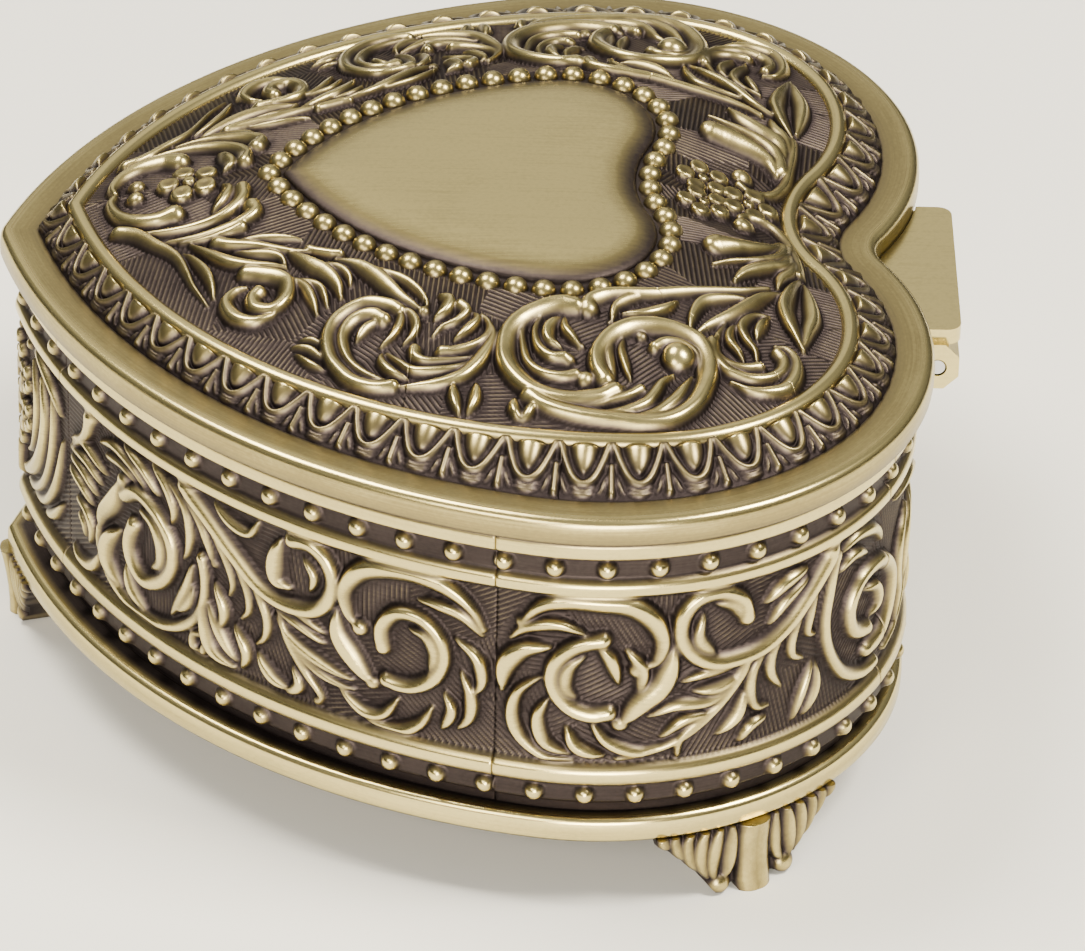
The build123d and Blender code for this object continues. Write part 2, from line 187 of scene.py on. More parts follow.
def loft(name, loops, body, material, wear_and_shade, capped):
    """A closed solid through loops (n, 3): capped at both ends, or its last loop joined to the first."""
    rows, n = len(loops), len(loops[0])
    i = np.arange(n)
    k = (i + 1) % n
    bands = [(r * n, (r + 1) % rows * n) for r in range(rows - capped)]
    faces = np.concatenate([np.stack([r + i, r + k, q + k, q + i], -1) for r, q in bands]).tolist()
    if capped:
        faces += [list(range(n - 1, -1, -1)), list(range((rows - 1) * n, rows * n))]
    flat = range(len(faces) - 2 * capped, len(faces))
    shade = np.repeat(np.broadcast_to(wear_and_shade, rows), n)
    return make_object(name, np.concatenate(loops), faces, body, material, shade, flat)


def heart_loft(name, section, body, material, count=420, capped=False):
    """A brushed solid along hearts, from a section of (shape, inset, height, wear and painted shade)."""
    columns = half_columns(count)
    loops = [lift(both_halves(shape.half(inset, columns)), z) for shape, inset, z, _ in section]
    piece = loft(name, loops, body, material, [worn_and_shaded for *_, worn_and_shaded in section], capped)
    along = length_along(np.concatenate([loops[0], loops[0][:1]]))[:-1]
    across = np.repeat(length_along(np.array([row[1:3] for row in section])), len(along))
    add_grain(piece, np.stack([np.tile(along, len(section)), across, across], 1))
    return piece


# ---------------------------------------------------------------- relief


def spline(points, step=0.09):
    """A smooth line through a few points (Catmull-Rom), sampled evenly enough."""
    p = np.array(points, float)
    p = np.concatenate([[2 * p[0] - p[1]], p, [2 * p[-1] - p[-2]]])
    out = []
    for a, b, c, d in zip(p, p[1:], p[2:], p[3:]):
        t = np.linspace(0, 1, max(3, int(np.linalg.norm(c - b) / step)), endpoint=False)[:, None]
        out.append(0.5 * (2 * b + (c - a) * t + (2 * a - 5 * b + 4 * c - d) * t**2
                          + (3 * b - a - 3 * c + d) * t**3))
    return np.concatenate(out + [p[-2:-1]])


def ridge_kind(taper):
    """A kind of ridge, whose width runs from its first point to its last as taper(0 to 1) says."""
    return lambda half_width, *points: (half_width, taper, points)


leaf = ridge_kind(lambda t: 0.25 + 0.75 * np.sin(pi * np.clip(t, 0.02, 0.98)) ** 0.8)
swell = ridge_kind(lambda t: 0.35 + 0.65 * t**0.8)
fade = ridge_kind(lambda t: 1.0 - 0.8 * t**1.3)
even = ridge_kind(np.ones_like)
FULL_WIDTH = 0.8


def add_ridges(height, u, v, ridges, rise, spread=1.45, crest=0.3):
    """Raise carved ridges on a height field.

    The foot of a ridge is spread times as wide as its crest, and the crest lies towards the outside of
    its bend, by the share that crest says; it runs back to the middle at the ridge's ends. A ridge that
    reaches FULL_WIDTH to each side is as high as rise says, and narrower ones are lower.
    """
    for half_width, taper, points in ridges:
        width = half_width * spread
        line = spline(points)
        low, high = line.min(0) - width, line.max(0) + width
        near = (u > low[0]) & (u < high[0]) & (v > low[1]) & (v < high[1])
        if not near.any():
            continue
        t = length_along(line)
        total = t[-1]
        t /= total
        widths = width * taper(t)
        here = np.stack([u[near], v[near]], 1).astype(np.float32)
        square = ((here[:, None, :] - line[None].astype(np.float32)) ** 2).sum(2)
        closeness = square / (widths[None] ** 2).astype(np.float32)
        best = np.sqrt(closeness.min(1))
        at = closeness.argmin(1)
        heading = np.gradient(line, axis=0)
        bend = heading[:-1, 0] * heading[1:, 1] - heading[:-1, 1] * heading[1:, 0]
        outer = -np.sign(bend.sum() + 1e-9)
        offset = here - line[at]
        side = np.sign(heading[at, 0] * offset[:, 1] - heading[at, 1] * offset[:, 0]) * outer
        skew = crest * np.clip(np.minimum(t, 1 - t) * total / width, 0, 1)[at]
        shifted = side * best - skew
        slope = np.where(shifted > 0, shifted / (1 - skew), -shifted / (1 + skew))
        top = rise * np.sqrt(widths[at] / FULL_WIDTH).clip(0.4, 1.3)
        raised = np.where(best < 1, top * np.clip(1 - slope**2, 0, 1) ** 0.75, 0)
        height[near] = np.maximum(height[near], raised)


def add_balls(height, u, v, balls, rise=1.0):
    """Raise round berries, each (u, v, radius), to rise times their radius."""
    for x, y, radius in balls:
        square = ((u - x) ** 2 + (v - y) ** 2) / radius**2
        near = square < 1
        height[near] = np.maximum(height[near], rise * radius * np.sqrt(1 - square[near]))


def flower(x, y, size, first):
    """Five petals round a centre, as discs (u, v, radius). The first petal points in the given degrees."""
    turns = [radians(first + 72 * k) for k in range(5)]
    petals = [(x + size * cos(turn), y + size * sin(turn), 0.62 * size) for turn in turns]
    return petals + [(x, y, 0.36 * size)]


def add_petals(height, u, v, petals):
    """Raise cupped round petals, each (u, v, radius): a rounded rim round a shallow hollow."""
    for x, y, radius in petals:
        share = np.sqrt((u - x) ** 2 + (v - y) ** 2) / radius
        near = share < 1
        cup = np.clip(1 - share[near] ** 5, 0, 1) ** 0.6 * (0.78 + 0.3 * share[near] ** 2)
        height[near] = np.maximum(height[near], cup)


HATCH_PITCH, HATCH_RISE = 0.42, 0.15


def add_hatch(height, u, v, seeds):
    """Fine cut lines on the ground between the ridges, in patches round seeds (u, v, direction)."""
    nearest = np.full(u.shape, np.inf)
    angle = np.zeros(u.shape)
    for x, y, degrees_round in seeds:
        distance = (u - x) ** 2 + (v - y) ** 2
        closer = distance < nearest
        nearest[closer] = distance[closer]
        angle[closer] = radians(degrees_round)
    phase = (u * np.cos(angle) + v * np.sin(angle)) / HATCH_PITCH
    ground = np.clip(1 - height / HATCH_RISE, 0, 1)
    height += ground * HATCH_RISE * (0.5 + 0.5 * np.cos(2 * pi * phase)) ** 1.4


def blurred(field, times):
    """The field after a few passes of a small box blur along both directions."""
    out = field.copy()
    for _ in range(times):
        edged = np.pad(out, 1, mode="edge")
        out = edged[:-2, 1:-1] + edged[2:, 1:-1] + edged[1:-1, :-2] + edged[1:-1, 2:] + edged[1:-1, 1:-1]
        out /= 5
    return out


# How much of the wear comes from height, from standing out of what is near, and from being cut at all
WEAR_RAISED, WEAR_EDGE, WEAR_CUT = 0.55, 0.68, 0.24


def wear_of(height, full=0.75):
    """How far the patina is rubbed off, 0 to 1: high and convex places are bright, hollows dark."""
    raised = np.clip((height - 0.25) / full, 0, 1) ** 1.6
    edge = np.clip((height - blurred(height, 30)) * 2.2, -0.6, 0.6)
    cut = np.clip(height / HATCH_RISE, 0, 1)
    return np.clip(WEAR_RAISED * raised + WEAR_EDGE * edge + WEAR_CUT * cut, 0, 1)


def field_grid(u_of_columns, v_of_rows):
    """Full grids of u and v from one u for each column and one v for each row."""
    return np.meshgrid(u_of_columns, v_of_rows, indexing="ij")


def between(outer, inner, rows):
    """Plan grid of points from an outer line to an inner one, at shares of the way."""
    share = rows[None, :, None]
    return outer[:, None] * (1 - share) + inner[:, None] * share


# Ornament of the lid's right half, (x, y) in millimetres
LID_RIDGES = [
    # C-scroll round the flower at the tip, and the fingers that leave it
    swell(0.85, (0.3, -30.4), (1.3, -30.6), (3, -29.9), (4.2, -28.5), (4.6, -26.7), (4.3, -25.3)),
    leaf(0.55, (1.2, -21.3), (2.2, -20.9), (3.4, -21.3), (4.6, -21.9)),
    fade(0.65, (2.3, -19.7), (4, -19.9), (5.4, -21.1), (6.2, -22.7), (6.5, -25), (6.1, -27.7),
               (5.2, -29.4)),
    fade(0.7, (4.9, -18.8), (5.9, -18.7), (6.9, -19.8), (7.5, -21.3), (7.9, -23.2), (7.8, -25.8)),
    fade(0.55, (7.5, -19.6), (8, -20.9), (8.4, -22.6), (8.3, -24.6)),
    # Stem along the rib with its slit leaf
    fade(0.55, (5.4, -29.8), (6.4, -28.2), (8, -26.7), (9.3, -25.4), (10.6, -24.5), (12.4, -23.8),
               (14.1, -23.2), (16.6, -21.9)),
    leaf(0.4, (9.7, -24.2), (11.2, -23.1), (12.8, -22.2), (14.3, -21.7), (15.9, -21.4)),
    # Leaves between the stem and the beads
    leaf(0.55, (8.8, -23.6), (10.6, -21.7), (11.8, -20.2), (12.6, -18.5), (13, -16.7), (13.3, -15.7)),
    leaf(0.38, (10.6, -20), (11.2, -18.6), (11.6, -17.1), (12.2, -16.1), (13.4, -15.6)),
    fade(0.6, (9.2, -21.4), (9.7, -19.9), (10.2, -18.2), (11, -16.4), (11.6, -14.9), (12.5, -11.3)),
    leaf(0.35, (9.3, -20.2), (9.4, -18), (9.7, -16), (10, -14.5)),
    even(0.42, (11.6, -13.8), (12.2, -12.3), (12.6, -11.3)),
    # Hook with its crescent
    even(0.62, (13.6, -18.9), (14.1, -17.6), (14.6, -16.4), (15.4, -15.6), (16.8, -15.5), (17.9, -16),
               (18.4, -16.8), (17.9, -17.9), (16.9, -18.1), (16.2, -17.8)),
    leaf(0.6, (15.3, -18.8), (15.7, -19.7), (16.8, -20.3), (18, -20), (19, -19.2), (19.5, -18),
              (19.2, -16.8), (18.6, -15.9)),
    leaf(0.42, (14.6, -15.6), (16, -14.2), (17.4, -13.5), (19.4, -12.9)),
    leaf(0.36, (14.9, -15), (16.2, -13), (17.4, -12.4), (18.6, -12.1)),
    leaf(0.6, (11.6, -15.6), (13.4, -13.8), (14.6, -12.5), (16.1, -11.5), (17.7, -11)),
    leaf(0.36, (13.4, -12.8), (14.3, -11.3), (15.3, -10.5), (16.3, -10.3)),
    # Long slit leaf beside the beads
    leaf(0.6, (13.2, -11.6), (14.3, -9.7), (15.7, -8.3), (17.3, -7.1), (18.7, -6), (19.9, -4.5)),
    leaf(0.38, (14.2, -9.6), (15.3, -7.7), (16.4, -6), (17.7, -4.8), (19, -4.1), (19.9, -4.1)),
    leaf(0.35, (22.9, -14.8), (23.6, -13.4), (25, -12.1)),
    leaf(0.3, (22.2, -14.2), (22.6, -13.1), (23.6, -12.2)),
    leaf(0.3, (23.7, -14.5), (24.9, -13.4), (26, -12)),
    # Side scroll: two arms, inner fingers, slit leaf below and a fan of leaves behind
    even(0.55, (20, -6.2), (19.3, -7.3), (18.9, -8.9), (19.6, -10.4), (20.9, -11.5), (22.8, -11.9),
               (24.7, -11.6), (26.2, -10.8), (27.4, -9.8), (28.2, -8.3), (28.4, -6.6)),
    swell(0.6, (28.3, -6.2), (27.6, -7.5), (26.6, -8.9), (25.3, -10), (23.6, -10.6), (22, -10.6),
               (20.7, -9.8), (20.3, -8.6), (20.9, -7.5)),
    leaf(0.4, (19.3, -7.2), (20.2, -6.3), (21.3, -6.2), (22.6, -6.7), (23.8, -7.6)),
    leaf(0.4, (19.4, -6.6), (20.4, -5.4), (21.7, -4.9), (22.9, -5.2), (23.7, -5.8)),
    leaf(0.4, (20.9, -7.6), (21.7, -8.8), (23, -9.6)),
    leaf(0.42, (24.6, -7.5), (25.5, -7.5), (26.7, -6.7), (27.6, -5.4)),
    leaf(0.42, (24.6, -7.1), (25.7, -6.1), (26.7, -5), (26.9, -3.5), (26.7, -1.8), (25.9, 0)),
    fade(0.48, (24.5, -4.9), (25.3, -4.7), (25.8, -3.9), (25.8, -2.4), (25.6, -0.8), (25.1, 0.5)),
    leaf(0.55, (18.4, -3), (19.2, -2.3), (20.1, -2.5), (21, -3.3)),
    fade(0.5, (19.7, -1.3), (20.5, -0.9), (21.4, -1.6), (22, -2.8), (22.9, -3.5)),
    leaf(0.45, (20.6, -0.2), (21.4, 0), (22.4, -0.7), (23.5, -1.7)),
    swell(0.5, (20.8, 0.4), (22, 1), (23.2, 0.8), (24.2, -0.2), (24.8, -1.8), (24.9, -2.7)),
    leaf(0.6, (21.6, 1), (23.4, 1.3), (25.3, 0.6), (26.8, -0.3), (27.8, -1.4), (28.4, -3.4), (28.5, -6)),
    # Two tassels below
    leaf(0.46, (28.3, -1.7), (29.8, -1.6), (31.6, -1.2)),
    leaf(0.46, (28.4, 0.1), (30.1, 0), (31.6, -0.5)),
    leaf(0.46, (30.2, 3.2), (31.2, 3.2), (32.4, 3.6)),
    leaf(0.46, (30.4, 4.8), (31.4, 4.4), (32.5, 3.9)),
    # Lobe scroll: outer arm with its inner arms
    even(0.72, (20, 8), (20, 6.5), (20.6, 5), (21.6, 3.6), (23, 2.7), (24.7, 2.4), (26.3, 2.6),
               (27.9, 3.4), (29.3, 4.7), (30.1, 6.4), (30.3, 8), (30, 9.8), (29.4, 11.1)),
    swell(0.5, (21.2, 4.6), (22.6, 3.8), (24.2, 3.8), (26.1, 4.2), (27.3, 5.2), (27.8, 6.6), (27.7, 8)),
    swell(0.5, (20.9, 5.4), (22.5, 4.8), (24.3, 5), (25.5, 5.9), (25.8, 7.1)),
    leaf(0.5, (21.2, 6.7), (22.4, 5.9), (23.7, 5.9), (24.6, 6.8)),
    leaf(0.42, (21.2, 7.1), (22.4, 7.2), (23.4, 7.8), (24.4, 8.3)),
    swell(0.5, (31.2, 7.4), (30.9, 9.7), (30.4, 10.8), (29.9, 12), (29.2, 13.2)),
    leaf(0.55, (31.9, 9), (31.7, 11.4), (30.8, 13.4), (29.4, 14.3), (28.1, 14.9), (27.2, 15.8)),
    leaf(0.58, (32.4, 11.6), (31.8, 14.2), (30.2, 15.8), (28.5, 16.7), (27.3, 17.3)),
    even(0.7, (30, 4.4), (31.2, 6.2), (32, 8.5), (32.4, 11), (32.6, 13.6), (32, 15.8), (30.4, 17.4),
              (28.5, 18.2), (26.6, 18.6), (24.7, 18.5), (23.1, 17.8), (22.2, 16.4), (21.8, 14.7),
              (22, 12.8), (22.8, 11.4), (23.9, 10.5), (25.3, 9.9), (26.6, 9.9), (28.3, 10.4)),
    fade(0.5, (24.2, 14.4), (23.6, 15.4), (23.7, 16.6), (24.6, 17.6), (26.2, 17.9), (28.2, 17.7),
              (30, 17)),
    leaf(0.38, (23.4, 11.9), (24.7, 11.7), (26.2, 12), (27.9, 12.4)),
    leaf(0.38, (23.4, 11.2), (25, 10.8), (26.6, 10.9), (28.2, 11.2)),
    # Leaves over the lobe scroll
    swell(0.62, (14.2, 23.7), (15.3, 21.8), (16.2, 19.3), (17, 16.8), (17.8, 14.5), (18.2, 12.4),
                (18.6, 10.5), (19.3, 9.3), (20, 8.9)),
    leaf(0.42, (18, 14.2), (18.7, 12.5), (19.8, 11.3), (21.5, 10.9)),
    leaf(0.52, (18.3, 16.2), (19.5, 15), (20.3, 13.5), (20.5, 11.8)),
    leaf(0.48, (16.4, 22.4), (17, 20.1), (17.9, 18.4), (19.5, 17.6), (21.6, 17.2)),
    leaf(0.58, (14.5, 24.9), (15.9, 23.2), (17.8, 21.8), (19.3, 20.5), (20.6, 19), (21.7, 17.8)),
    # Small scroll near the cleft, and its slit leaf
    leaf(0.42, (18.1, 23.7), (18.7, 22.4), (20.2, 21.5), (21.7, 21.8), (23, 22.5), (24.3, 22.6)),
    leaf(0.4, (18.4, 23.6), (20.1, 22.9), (21.4, 22.6)),
    leaf(0.4, (20, 21.1), (21.2, 20.5), (22.3, 20.5), (23.6, 21.2), (24.6, 21.5)),
    swell(0.48, (20.2, 20.2), (21.8, 19.5), (23.4, 19.2), (24.8, 19.9), (25.4, 21.2), (25.1, 22.8)),
    even(0.5, (22.8, 19), (24.4, 19.3), (26, 20.3), (26.6, 22), (26.2, 23.5), (25.2, 24.5), (24, 24.7),
              (23, 24.3)),
    leaf(0.6, (22.1, 24.1), (22.4, 25.1), (23.7, 25.7), (25.5, 25.6), (27.1, 24.9), (27.9, 23.5), (28, 22),
              (27.3, 20.5)),
    leaf(0.6, (11.7, 26.3), (14.2, 25.5), (16.5, 25.1), (18.4, 25.4), (20, 25.9), (21.8, 26.4)),
    leaf(0.6, (12.4, 26.7), (15.2, 27.1), (17.4, 27.2), (19.3, 26.8), (21.6, 26.4)),
    # Hook and fingers beside the cleft
    even(0.42, (2.7, 21.7), (2.2, 22.4), (2.2, 23.4), (2.8, 24.4), (3.9, 25.1), (5.2, 25.6), (6.9, 25.9),
               (9, 26.2), (10.9, 26.3)),
    swell(1.0, (5.7, 24.9), (7.1, 24.2), (8, 22.9), (8.6, 21.3), (9.2, 19.7)),
    fade(0.65, (6.4, 25.3), (8.5, 24.7), (9.8, 23.4), (10.6, 22), (11.3, 20.5), (12.1, 19.2)),
    leaf(0.72, (7.1, 25.6), (9.8, 25.1), (10.8, 23.9), (11.7, 22.7), (12.7, 21.7), (13.9, 21)),
    leaf(0.55, (8.2, 26), (10.7, 25.6), (12.2, 24.8), (13.7, 24.5)),
]

LID_BALLS = [(0.95, -28.6, 0.85), (4.4, -25.2, 1.05), (2.6, -19.9, 0.6), (20.2, 9, 0.95),
             (28.1, 8.8, 0.85), (25.9, 7.4, 0.7), (29.3, 13.2, 0.65), (29.1, 11.7, 0.6), (25.2, 16.3, 1.5),
             (22.9, 13.3, 0.6), (3.9, 21.9, 1), (9.4, 19.4, 1.15), (24.9, -2.4, 0.6), (24.6, -4.7, 0.55),
             (20, -4.3, 0.6), (24.3, 8.4, 0.45), (12.5, -11.5, 0.6), (21.5, 10.8, 0.4)]
LID_PETALS = flower(1.95, 18.6, 1.5, 60) + flower(0, -24.2, 1.7, -90) + flower(0, 22.4, 1.6, 90)

# Patches of hatching: a point in each and the direction across its lines, in degrees
LID_HATCH = [(0, -20, 60), (3, -26, 20), (7.5, -15.5, 15), (13, -24, 80), (10, -12, 70), (19, -15, 110),
             (22, -12, 135), (18, -9, 95), (24, -17, 60), (16.5, -2, 85), (18.5, 4, 150), (24, 0, 90),
             (29, -8, 120), (30, 3, 0), (31, 12, 45), (29.5, 19.5, 130), (17.3, 9, 30), (15.5, 13.8, 160),
             (11.5, 17.5, 95), (7, 17.3, 10), (3.5, 15.5, 90), (1, 15, 120), (0, 24.5, 45), (8, 27.5, 95),
             (15, 28.2, 5), (24, 27.6, 20), (20, 29, 350)]

# Ornament of the walls' right half, (distance along the outline from the tip, height)
WALL_RIDGES = [
    # Tip panel: stem of the flower column and a ribbed shell leaf
    even(0.5, (0, 14.6), (0, 17)),
    leaf(0.8, (1.2, 15.6), (3.2, 16.6), (5.6, 18.6), (7.4, 21.4), (8, 24.6), (7, 27.6)),
    leaf(0.55, (2.4, 15), (5, 15.8), (7.6, 18), (9.2, 21), (9.8, 24.4), (9.4, 27.8)),
    leaf(0.5, (4.4, 14.9), (7.4, 15.9), (9.6, 18.2), (10.9, 21), (11.5, 24)),
    leaf(0.5, (2.2, 17.8), (4.4, 19.6), (5.6, 22.4), (5.6, 25.4), (4.4, 28)),
    leaf(0.45, (7.4, 14.8), (9.6, 15.8), (11.3, 17.6)),
    leaf(0.5, (5.2, 29.5), (7.4, 29.2), (9.6, 28.2), (11.2, 26.4)),
    # Horn, fan of leaves and small hook beside the tip joint
    swell(0.65, (14, 25.4), (15.2, 26.4), (16.4, 27.8), (17.2, 29.7)),
    leaf(0.42, (13.4, 25.6), (16, 26.5), (19.4, 25.2)),
    leaf(0.42, (13.2, 24.8), (16.4, 24.9), (18.6, 23.8)),
    leaf(0.42, (13.2, 23.8), (15.8, 23.6), (17.8, 22.3)),
    leaf(0.42, (13, 22.6), (15.5, 22), (17, 20.9)),
    leaf(0.45, (14.2, 20.2), (16.2, 20), (17.1, 18.6), (16.5, 16.9)),
    leaf(0.4, (14.6, 19), (15.8, 18.6), (16, 17.2)),
    leaf(0.5, (13.4, 15), (15.4, 14.6), (17.2, 15.2), (18.4, 17)),
    # Large scroll: teardrop, outer arm, inner spiral
    leaf(0.75, (22.4, 26.6), (21.7, 25), (20.7, 23.3), (19.3, 21.5), (18.6, 19.6)),
    even(0.45, (18.6, 19.6), (18.8, 17.9), (20, 16), (22, 14.9), (24.5, 14.4), (27, 14.7), (29.5, 15.7),
               (31.3, 17.3), (32.3, 19.5), (32.5, 21.5), (32.2, 23.6)),
    leaf(0.75, (21.4, 20.8), (19.9, 19), (19.8, 17.2), (21.6, 15.5)),
    leaf(0.5, (22.4, 18.2), (23.3, 16.3), (25.2, 14.9)),
    even(0.6, (22.5, 25), (24.5, 26), (26.8, 25.3), (28.4, 23.5), (28.6, 21.3), (27.4, 19.2), (25.4, 18.1),
              (23.8, 18.8), (23.1, 20.4), (23.6, 22.6)),
    leaf(0.7, (24.6, 24.5), (26.3, 24.2), (27.3, 22.7), (27.2, 20.9), (26.1, 19.7)),
    leaf(0.5, (29, 17), (30.6, 18.6), (31.2, 20.4)),
    leaf(0.5, (28.4, 16.2), (30.2, 19.6), (30.9, 22.2)),
    leaf(0.5, (33.6, 21.8), (34.6, 19.6), (34.2, 17.6)),
    leaf(0.5, (35.8, 18.6), (37, 16.6), (36.6, 14.8)),
    leaf(0.48, (38.2, 17), (39.8, 15.4), (41.6, 14.8)),
    leaf(0.48, (41.8, 17.2), (42.4, 15.6), (41.2, 14.4)),
    # Long stem with hanging leaves, ending in a small scroll
    even(0.6, (30.3, 29.8), (33, 28), (36, 25.6), (38.5, 23.8), (41, 23.1), (43.5, 23.4), (45, 24.6),
              (45.6, 26.6), (45, 28.5), (43.5, 29.5), (41.8, 29.4)),
    leaf(0.65, (40.6, 28.9), (40.1, 27), (40.2, 25.2), (41.4, 24.6)),
    leaf(0.4, (42.8, 28), (43.8, 26.6), (43.4, 25)),
    leaf(0.48, (26.2, 29.8), (28, 28.6), (28.9, 26.8), (28.6, 25.2)),
    leaf(0.48, (28.2, 29.4), (30.2, 27.8), (30.8, 25.8), (30.6, 23.8), (30, 22.5)),
    leaf(0.48, (30, 28.9), (32, 27.2), (32.9, 25.4), (33.4, 23.7)),
    leaf(0.48, (31.5, 29), (33.5, 27), (35, 24.8), (35.6, 22.8), (35.2, 21.3)),
    leaf(0.48, (34, 27.6), (36, 25.2), (37.2, 22.8), (37.3, 20.9), (36.5, 19.6)),
    leaf(0.48, (36.4, 25.5), (38.2, 23.2), (39.2, 20.9), (39, 19), (38.1, 17.8)),
    leaf(0.42, (18.5, 28), (21, 28.8), (23.5, 28.2), (25.3, 26.8)),
    leaf(0.38, (19.3, 27.2), (22, 27.6), (24, 26.8)),
    leaf(0.42, (22.2, 29.7), (25, 28.7), (26.8, 27)),
    leaf(0.45, (33.6, 29.6), (35.6, 28.6), (37.4, 28.4), (38.2, 29.6)),
    # Leaves under the small scroll
    leaf(0.42, (39.5, 22.9), (42, 22.7), (44.8, 21.4)),
    leaf(0.42, (40, 22.1), (42.5, 21.4), (44.7, 20.4)),
    leaf(0.45, (40, 21.5), (42, 19.8), (44.5, 18.7), (47.4, 17.8)),
    leaf(0.42, (40.4, 21), (42.8, 18.8), (45, 17.5), (47.6, 16.9)),
    leaf(0.48, (40.2, 22.3), (41.3, 19.7), (43, 17.3), (44.5, 15.3), (44, 14.3)),
    leaf(0.6, (32.5, 20.4), (32.6, 17.8), (33.3, 15.4), (35.6, 14.4)),
    leaf(0.5, (32.9, 19.8), (34.4, 17.2), (35.9, 15.2)),
    even(0.35, (32.2, 16.2), (31.2, 15.6), (31.2, 14.5), (32, 14.2), (32.4, 15)),
    # Spiral on the near side of the side joint
    leaf(0.75, (48, 23), (47, 24.6), (46.8, 26.6), (48.2, 28.6), (50.5, 29.6), (53, 29.8), (55.5, 29.2),
               (57.5, 27.8), (58.8, 25.8)),
    even(0.55, (50.2, 22), (50.2, 24), (51.5, 25.6), (53.5, 25.6), (55, 24.2), (55.4, 22.2), (54.6, 20.2),
               (52.8, 19), (50.6, 18.9)),
    leaf(0.55, (52.6, 24.4), (54, 24), (54.7, 22.6), (54.3, 20.8)),
    leaf(0.75, (46, 24.2), (46.3, 22), (47.8, 20), (49.4, 18.1)),
    leaf(0.5, (56.5, 24.4), (58.2, 23), (58.7, 20.9), (58, 19.3)),
    leaf(0.5, (57, 21.2), (57.8, 19.2), (57.7, 17.2), (56.8, 15.8)),
    leaf(0.45, (55.6, 18.9), (56.2, 17.3), (55.4, 15.4)),
    leaf(0.48, (46.2, 16.9), (48.5, 15.4), (50.3, 15.6), (51.5, 17.2)),
    leaf(0.48, (48.4, 14.8), (51.5, 14.4), (53.5, 15.5), (54.5, 17.2)),
    leaf(0.5, (53.3, 27.4), (55, 27.3), (57, 26.8), (58.7, 25.2)),
    # Spiral on the lobe panel
    leaf(0.75, (61.8, 27), (63.5, 28.9), (65.5, 29.6), (68, 29.6), (70.5, 29.2), (72.3, 27.8),
               (73.2, 25.8), (72.8, 24), (71.5, 23.2)),
    leaf(0.5, (61, 25.5), (62.5, 26.8), (64.8, 27.3), (67.2, 26.5)),
    leaf(0.7, (60.4, 20.5), (60.7, 22.8), (62, 24.5), (64.2, 25.1)),
    even(0.6, (68.4, 26), (66.2, 25.2), (64.8, 23.6), (64.6, 21.7), (65.6, 19.9), (67.2, 19), (69, 19)),
    leaf(0.5, (67, 24.4), (65.8, 23.2), (65.6, 21.5), (66.4, 20.4)),
    leaf(0.5, (67.8, 25.8), (69, 24.2), (69.8, 21.8)),
    leaf(0.85, (74.2, 25.2), (73.4, 22), (71.7, 20.1), (69.9, 17.9)),
    leaf(0.5, (63.6, 22.2), (61.8, 20.5), (61.3, 18.3), (62, 16.3), (64, 14.6), (66.2, 14.2)),
    leaf(0.5, (64.2, 20.2), (63.4, 18.2), (64, 16), (66, 14.9)),
    leaf(0.5, (65.7, 17.4), (66.6, 15.7), (68.7, 14.8)),
    leaf(0.48, (67.6, 18.3), (69, 16.3), (71.5, 15.2), (73.6, 15.7)),
    leaf(0.5, (76, 20.4), (78.2, 20.6), (80.2, 21.6)),
    leaf(0.5, (73.4, 16.4), (75.4, 17.8), (78, 18)),
    leaf(0.5, (78.2, 15.8), (79.8, 17.4), (80.4, 19.6)),
    leaf(0.48, (80.2, 14.6), (81.2, 15.8), (82.6, 16.2)),
    leaf(0.55, (82.2, 27.4), (84, 28.6), (86.2, 29.2)),
    leaf(0.5, (82.6, 25.2), (84.2, 27), (86.4, 28.2)),
    leaf(0.5, (71.4, 20.8), (71.6, 23), (70.4, 25)),
    # Stem with slit leaves, small scroll and its hanging leaves
    swell(0.55, (69.8, 14.5), (73, 15.3), (75.5, 16.5), (77.8, 18.6), (79.5, 20.8), (80.4, 22.4)),
    leaf(0.45, (75, 21.5), (77, 22), (80, 22.2)),
    leaf(0.5, (72.3, 18.5), (74.5, 19.4), (77.5, 19.5), (80, 21.3)),
    leaf(0.45, (74.8, 14), (75, 16), (76.7, 17.6), (78.4, 19.3)),
    even(0.6, (80.4, 26.6), (79.7, 28.4), (78, 29.5), (76.2, 29.3), (75, 28), (74.8, 26), (75.8, 24.2),
              (77.5, 23.1), (79.5, 22.9), (82, 23.3), (84.5, 24.8), (86.5, 26.8), (88.5, 29), (89, 29.9)),
    leaf(0.5, (76.6, 27.6), (76.3, 25.5), (77.7, 23.8)),
    leaf(0.5, (77.6, 28.6), (79.2, 28), (80.1, 26.3)),
    leaf(0.5, (83, 23.8), (81.3, 21.5), (81, 19.5), (81.5, 17.7), (82.8, 17.2)),
    leaf(0.5, (84.5, 24.8), (83, 22.5), (82.9, 20.5), (84, 18.6)),
    leaf(0.48, (86.3, 26.4), (85, 23.5), (85, 21.5), (86.2, 20.5)),
    leaf(0.48, (87.5, 27.6), (86.8, 25), (86.6, 23), (87.5, 22.3)),
    even(0.5, (89.5, 29), (89, 26), (88.6, 23), (89.2, 20), (91, 17), (93.5, 15.5), (96, 15.2)),
    leaf(0.42, (87.3, 19.6), (86.2, 17), (85.4, 14.8)),
    leaf(0.42, (87.7, 19.4), (87.6, 17), (86.6, 14.8)),
    leaf(0.5, (90.2, 28.8), (92.4, 29.4), (95, 28.6), (96.6, 26.8)),
    leaf(0.48, (90, 27), (91.8, 27.8), (94, 27)),
    # Back panel: spiral over the joint, stem with leaves towards the hinge
    even(0.6, (94.4, 19.4), (92.4, 20.4), (91.8, 22.6), (93, 24.6), (95.2, 25), (97.4, 24.2), (98.8, 22.2),
              (98.6, 19.8), (97, 17.8), (94.6, 17.2)),
    leaf(0.5, (94.2, 23.2), (95.8, 22.6), (96.2, 21), (95, 20.2)),
    swell(0.6, (98.4, 15), (101, 15.6), (103.6, 17.6), (105.4, 20.4), (107.6, 22.6), (110.4, 23.4),
